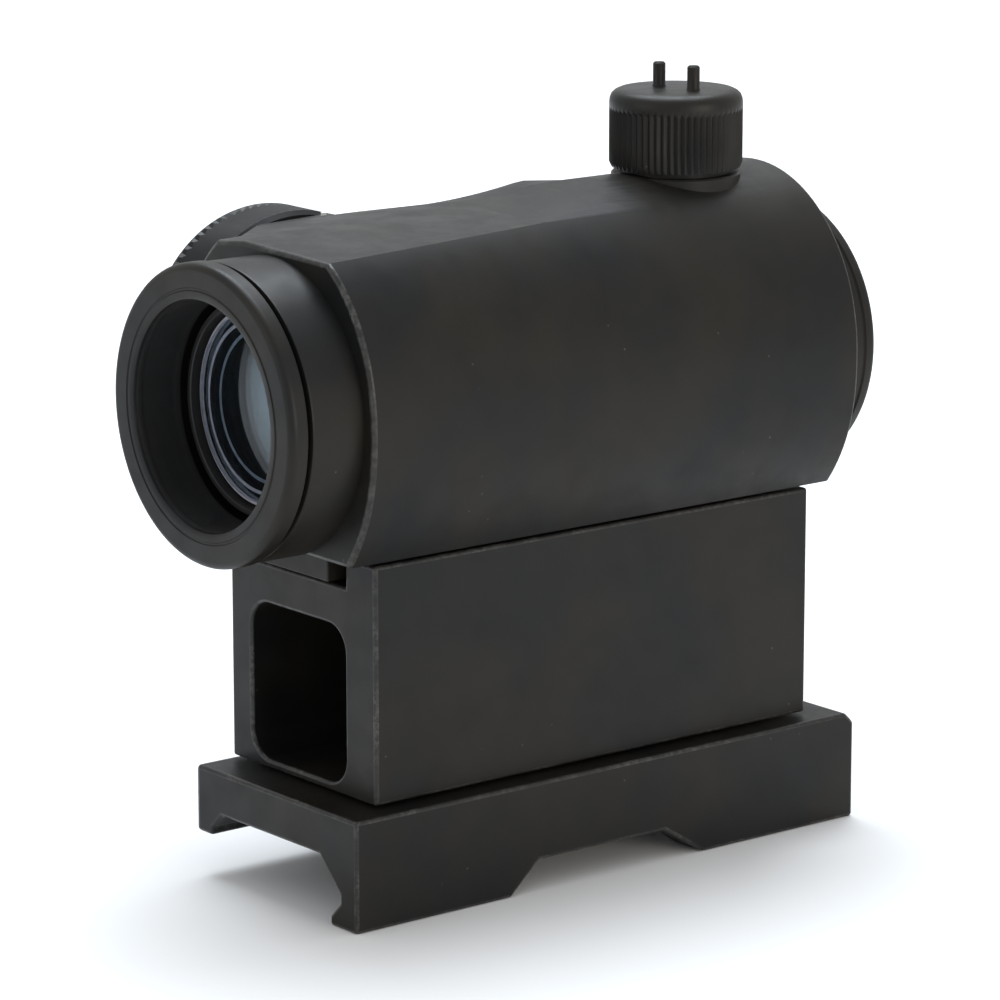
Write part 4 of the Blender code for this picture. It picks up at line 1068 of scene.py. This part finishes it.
def in_diamond(place):
    """True for every other corner of the knurl's grid."""
    height = (place - KNOB).dot(ALONG["side"]) / MM
    reach = math.hypot(place.y - KNOB.y, place.z - KNOB.z) / MM
    row = round((knurl_end - height) / row_height)
    inside = reach > KNOB_R - 0.05 and 1 <= row <= KNURL_ROWS - 1
    return inside and (row + column_of(place, KNOB, "side", KNOB_COLUMNS)) % 2 == 0


press_in(dial, KNOB, "side", 1 - KNURL_DEPTH / KNOB_R, in_diamond)
hand_over(smooth(dial, 20), "brightness_knob", "brightness_knob")

DIGITS = 12
DIGIT_RING_R = 11.5
DIGIT_SIZE = 1.5 * MM
DIGIT_RISE = 0.06 * MM
digits = []
for step in range(DIGITS):
    angle = math.tau * step / DIGITS
    outward = Vector((0, -math.sin(angle), math.cos(angle)))
    rightward = Vector((0, -math.cos(angle), -math.sin(angle)))
    facing = Matrix((rightward, outward, ALONG["side"])).transposed().to_euler()
    spot = KNOB + (ALONG["side"] * (KNOB_FAR - 0.05) + outward * DIGIT_RING_R) * MM
    bpy.ops.object.select_all(action="DESELECT")
    bpy.ops.object.text_add(location=spot, rotation=facing)
    digit = bpy.context.object
    digit.data.body = str(step)
    digit.data.size = DIGIT_SIZE
    digit.data.align_x = "CENTER"
    digit.data.align_y = "CENTER"
    digit.data.extrude = DIGIT_RISE
    digits.append(digit)
bpy.ops.object.select_all(action="DESELECT")
for digit in digits:
    digit.select_set(True)
bpy.context.view_layer.objects.active = digits[0]
bpy.ops.object.convert(target="MESH")
bpy.ops.object.join()
dial_numbers = bpy.context.object
dial_numbers.name = "dial_numbers"
bpy.ops.object.transform_apply(location=True, rotation=True, scale=True)
dress(dial_numbers, dial_paint)
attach(dial_numbers, "brightness_knob")
print("dial_numbers", len(dial_numbers.data.polygons), "faces")

# %% [markdown]
# The battery cap screws into the middle of the knob and has a slot for a coin.

# %% Battery cap
lid_low, lid_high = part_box("cell_cap")
LID_R = CELL_WELL_R - ROOM
lid_near, lid_far = -lid_high.x / MM, -lid_low.x / MM
section = [(0, lid_far), (LID_R - 0.55, lid_far), (LID_R - 0.18, lid_far - 0.13), (LID_R, lid_far - 0.5),
           (LID_R, lid_near), (0, lid_near)]
battery_cap = dress(lathe("battery_cap", section, KNOB, "side", 128), knob_black, anodised_edge)
COIN_DEPTH = 1.0
COIN_HALF_WIDTH = 0.9
COIN_HALF_LENGTH = 6.5
slot_low = KNOB + mm(-lid_far - PAST, -COIN_HALF_WIDTH, -COIN_HALF_LENGTH)
slot_high = KNOB + mm(-lid_far + COIN_DEPTH, COIN_HALF_WIDTH, COIN_HALF_LENGTH)
cut(battery_cap, block("coin_slot", slot_low, slot_high))
tidy_flats(battery_cap)
soften(battery_cap, 0.12, 2, 60)
hand_over(smooth(battery_cap, 30), "cell_cap", "cell_cap")

# %% [markdown]
# ## The clamp
# The lever is an eye with an arm, and its eye is a cam: round where it holds the jaw shut, and
# falling away over the swing. The jaw is the mirror of the fixed one, with two tongues above it.

# %% Lever and moving jaw
lever_low, lever_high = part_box("clamp_lever")
CAM_R = 5.2
CAM_TRAVEL = 1.6
SWING = math.radians(105)
cam = []
for step in range(96):
    angle = math.tau * step / 96
    fall = min(angle / SWING, 1.0) if angle <= math.pi else 0.0
    reach = CAM_R - CAM_TRAVEL * fall
    cam.append(PIVOT + mm(reach * math.cos(angle), reach * math.sin(angle), lever_low.z / MM))
lever = slab("throw_lever", cam, Vector((0, 0, lever_high.z - lever_low.z)))
dress(lever, black_anodised, anodised_edge)
soften(lever, 0.3)
ARM_WIDTH = 4
arm_x = PIVOT_X / MM + 1.2
arm_tip = lever_low.y / MM
arm = [(arm_x, PIVOT_Y / MM), (arm_x, arm_tip + 3), (arm_x - 2, arm_tip), (arm_x - 5, arm_tip),
       (arm_x - ARM_WIDTH, arm_tip + 5), (arm_x - ARM_WIDTH, PIVOT_Y / MM)]
arm_bar = slab("lever_arm", [mm(x, y, lever_low.z / MM + 0.5) for x, y in arm],
               mm(0, 0, (lever_high.z - lever_low.z) / MM - 1.0))
add(lever, soften(arm_bar, 0.5))
cut(lever, bar("hole", HOLE_R, lever_low.z / MM - PAST, lever_high.z / MM + PAST, PIVOT, "up"))
hand_over(smooth(lever), "clamp_lever", "clamp_lever")

jaw_low, jaw_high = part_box("clamp_jaw")
jaw_x, jaw_y = jaw_low.x / MM, jaw_high.y / MM
section = [(-FLAT_HALF - ROOM, -ROOM), (-GROOVE_HALF, GROOVE_TOP), (-GROOVE_HALF, GROOVE_LOW),
           (-LIP_HALF, LIP_TOP), (-LIP_HALF, JAW_LOW), (jaw_x, JAW_LOW), (jaw_x, -ROOM)]
jaw = slab("moving_jaw", [mm(x, -jaw_y, z) for x, z in section], mm(0, 2 * jaw_y, 0))
dress(jaw, black_steel, black_steel)
soften(jaw, 0.28)
for side in (-1, 1):
    tongue = block("tongue", mm(jaw_x + 0.1, side * TONGUE_Y - TONGUE_HALF, JAW_LOW / 2),
                   mm(-LIP_HALF, side * TONGUE_Y + TONGUE_HALF, jaw_high.z / MM))
    add(jaw, soften(tongue, 0.15, 2))
hand_over(smooth(jaw), "clamp_jaw", "clamp_jaw")

# %% [markdown]
# ## The screws
# All nine are the same socket head; the head lies at one end of the node's box or the other.

# %% Socket screws
HEAD_HEIGHT = 1.5
KEY_R = 1.12
KEY_SINK = 0.8


def socket_bolt(name, node, head_up):
    """A socket head screw that fills a node's box, with its head at the top or at the bottom."""
    low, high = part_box(node)
    axis = upright_axis(low, high)
    way = 1 if head_up else -1
    top, tip = (high.z / MM, low.z / MM) if head_up else (low.z / MM, high.z / MM)
    seat = top - way * HEAD_HEIGHT
    section = [(0, top), (HEAD_R - 0.28, top), (HEAD_R - 0.08, top - way * 0.08),
               (HEAD_R, top - way * 0.28), (HEAD_R, seat), (SHANK_R, seat), (SHANK_R, tip + way * 0.25),
               (SHANK_R - 0.25, tip), (0, tip)]
    bolt = dress(lathe(name, section, axis, "up", 48), black_steel)
    hexagon = lathe("hexagon", [(0, top + way), (KEY_R, top + way), (KEY_R, top - way * KEY_SINK),
                                (0, top - way * (KEY_SINK + 0.15))], axis, "up", 6)
    cut(bolt, hexagon)
    hand_over(smooth(bolt, 35), node, "root")


for number in range(1, 5):
    socket_bolt("riser_bolt_%d" % number, "riser_screw_%d" % number, True)
    socket_bolt("sight_bolt_%d" % number, "optic_screw_%d" % number, False)
socket_bolt("lever_bolt", "lever_pivot_screw", False)

# %% [markdown]
# ## Inner pieces
# The pieces inside the sight keep the shapes they have in the mechanical model, with a finish each.

# %% Finishes for the kept pieces
KEPT = {rubber: ("front_seal", "rear_seal", "elevation_cap_seal", "windage_cap_seal", "cell_cap_seal"),
        brass: ("elevation_screw", "windage_screw", "pivot_collar"),
        black_steel: ("elevation_retaining_ring", "windage_retaining_ring", "knob_spindle_screw",
                      "emitter_bracket"),
        bright_steel: ("cell", "detent_ball", "detent_spring", "bias_spring"),
        board_green: ("switch_board",),
        lamp_red: ("led_emitter",)}
for finish, names in KEPT.items():
    for name in names:
        node = frame["nodes"][name]
        node.data.materials.clear()
        node.data.materials.append(finish)
print("kept pieces", sum(len(names) for names in KEPT.values()))
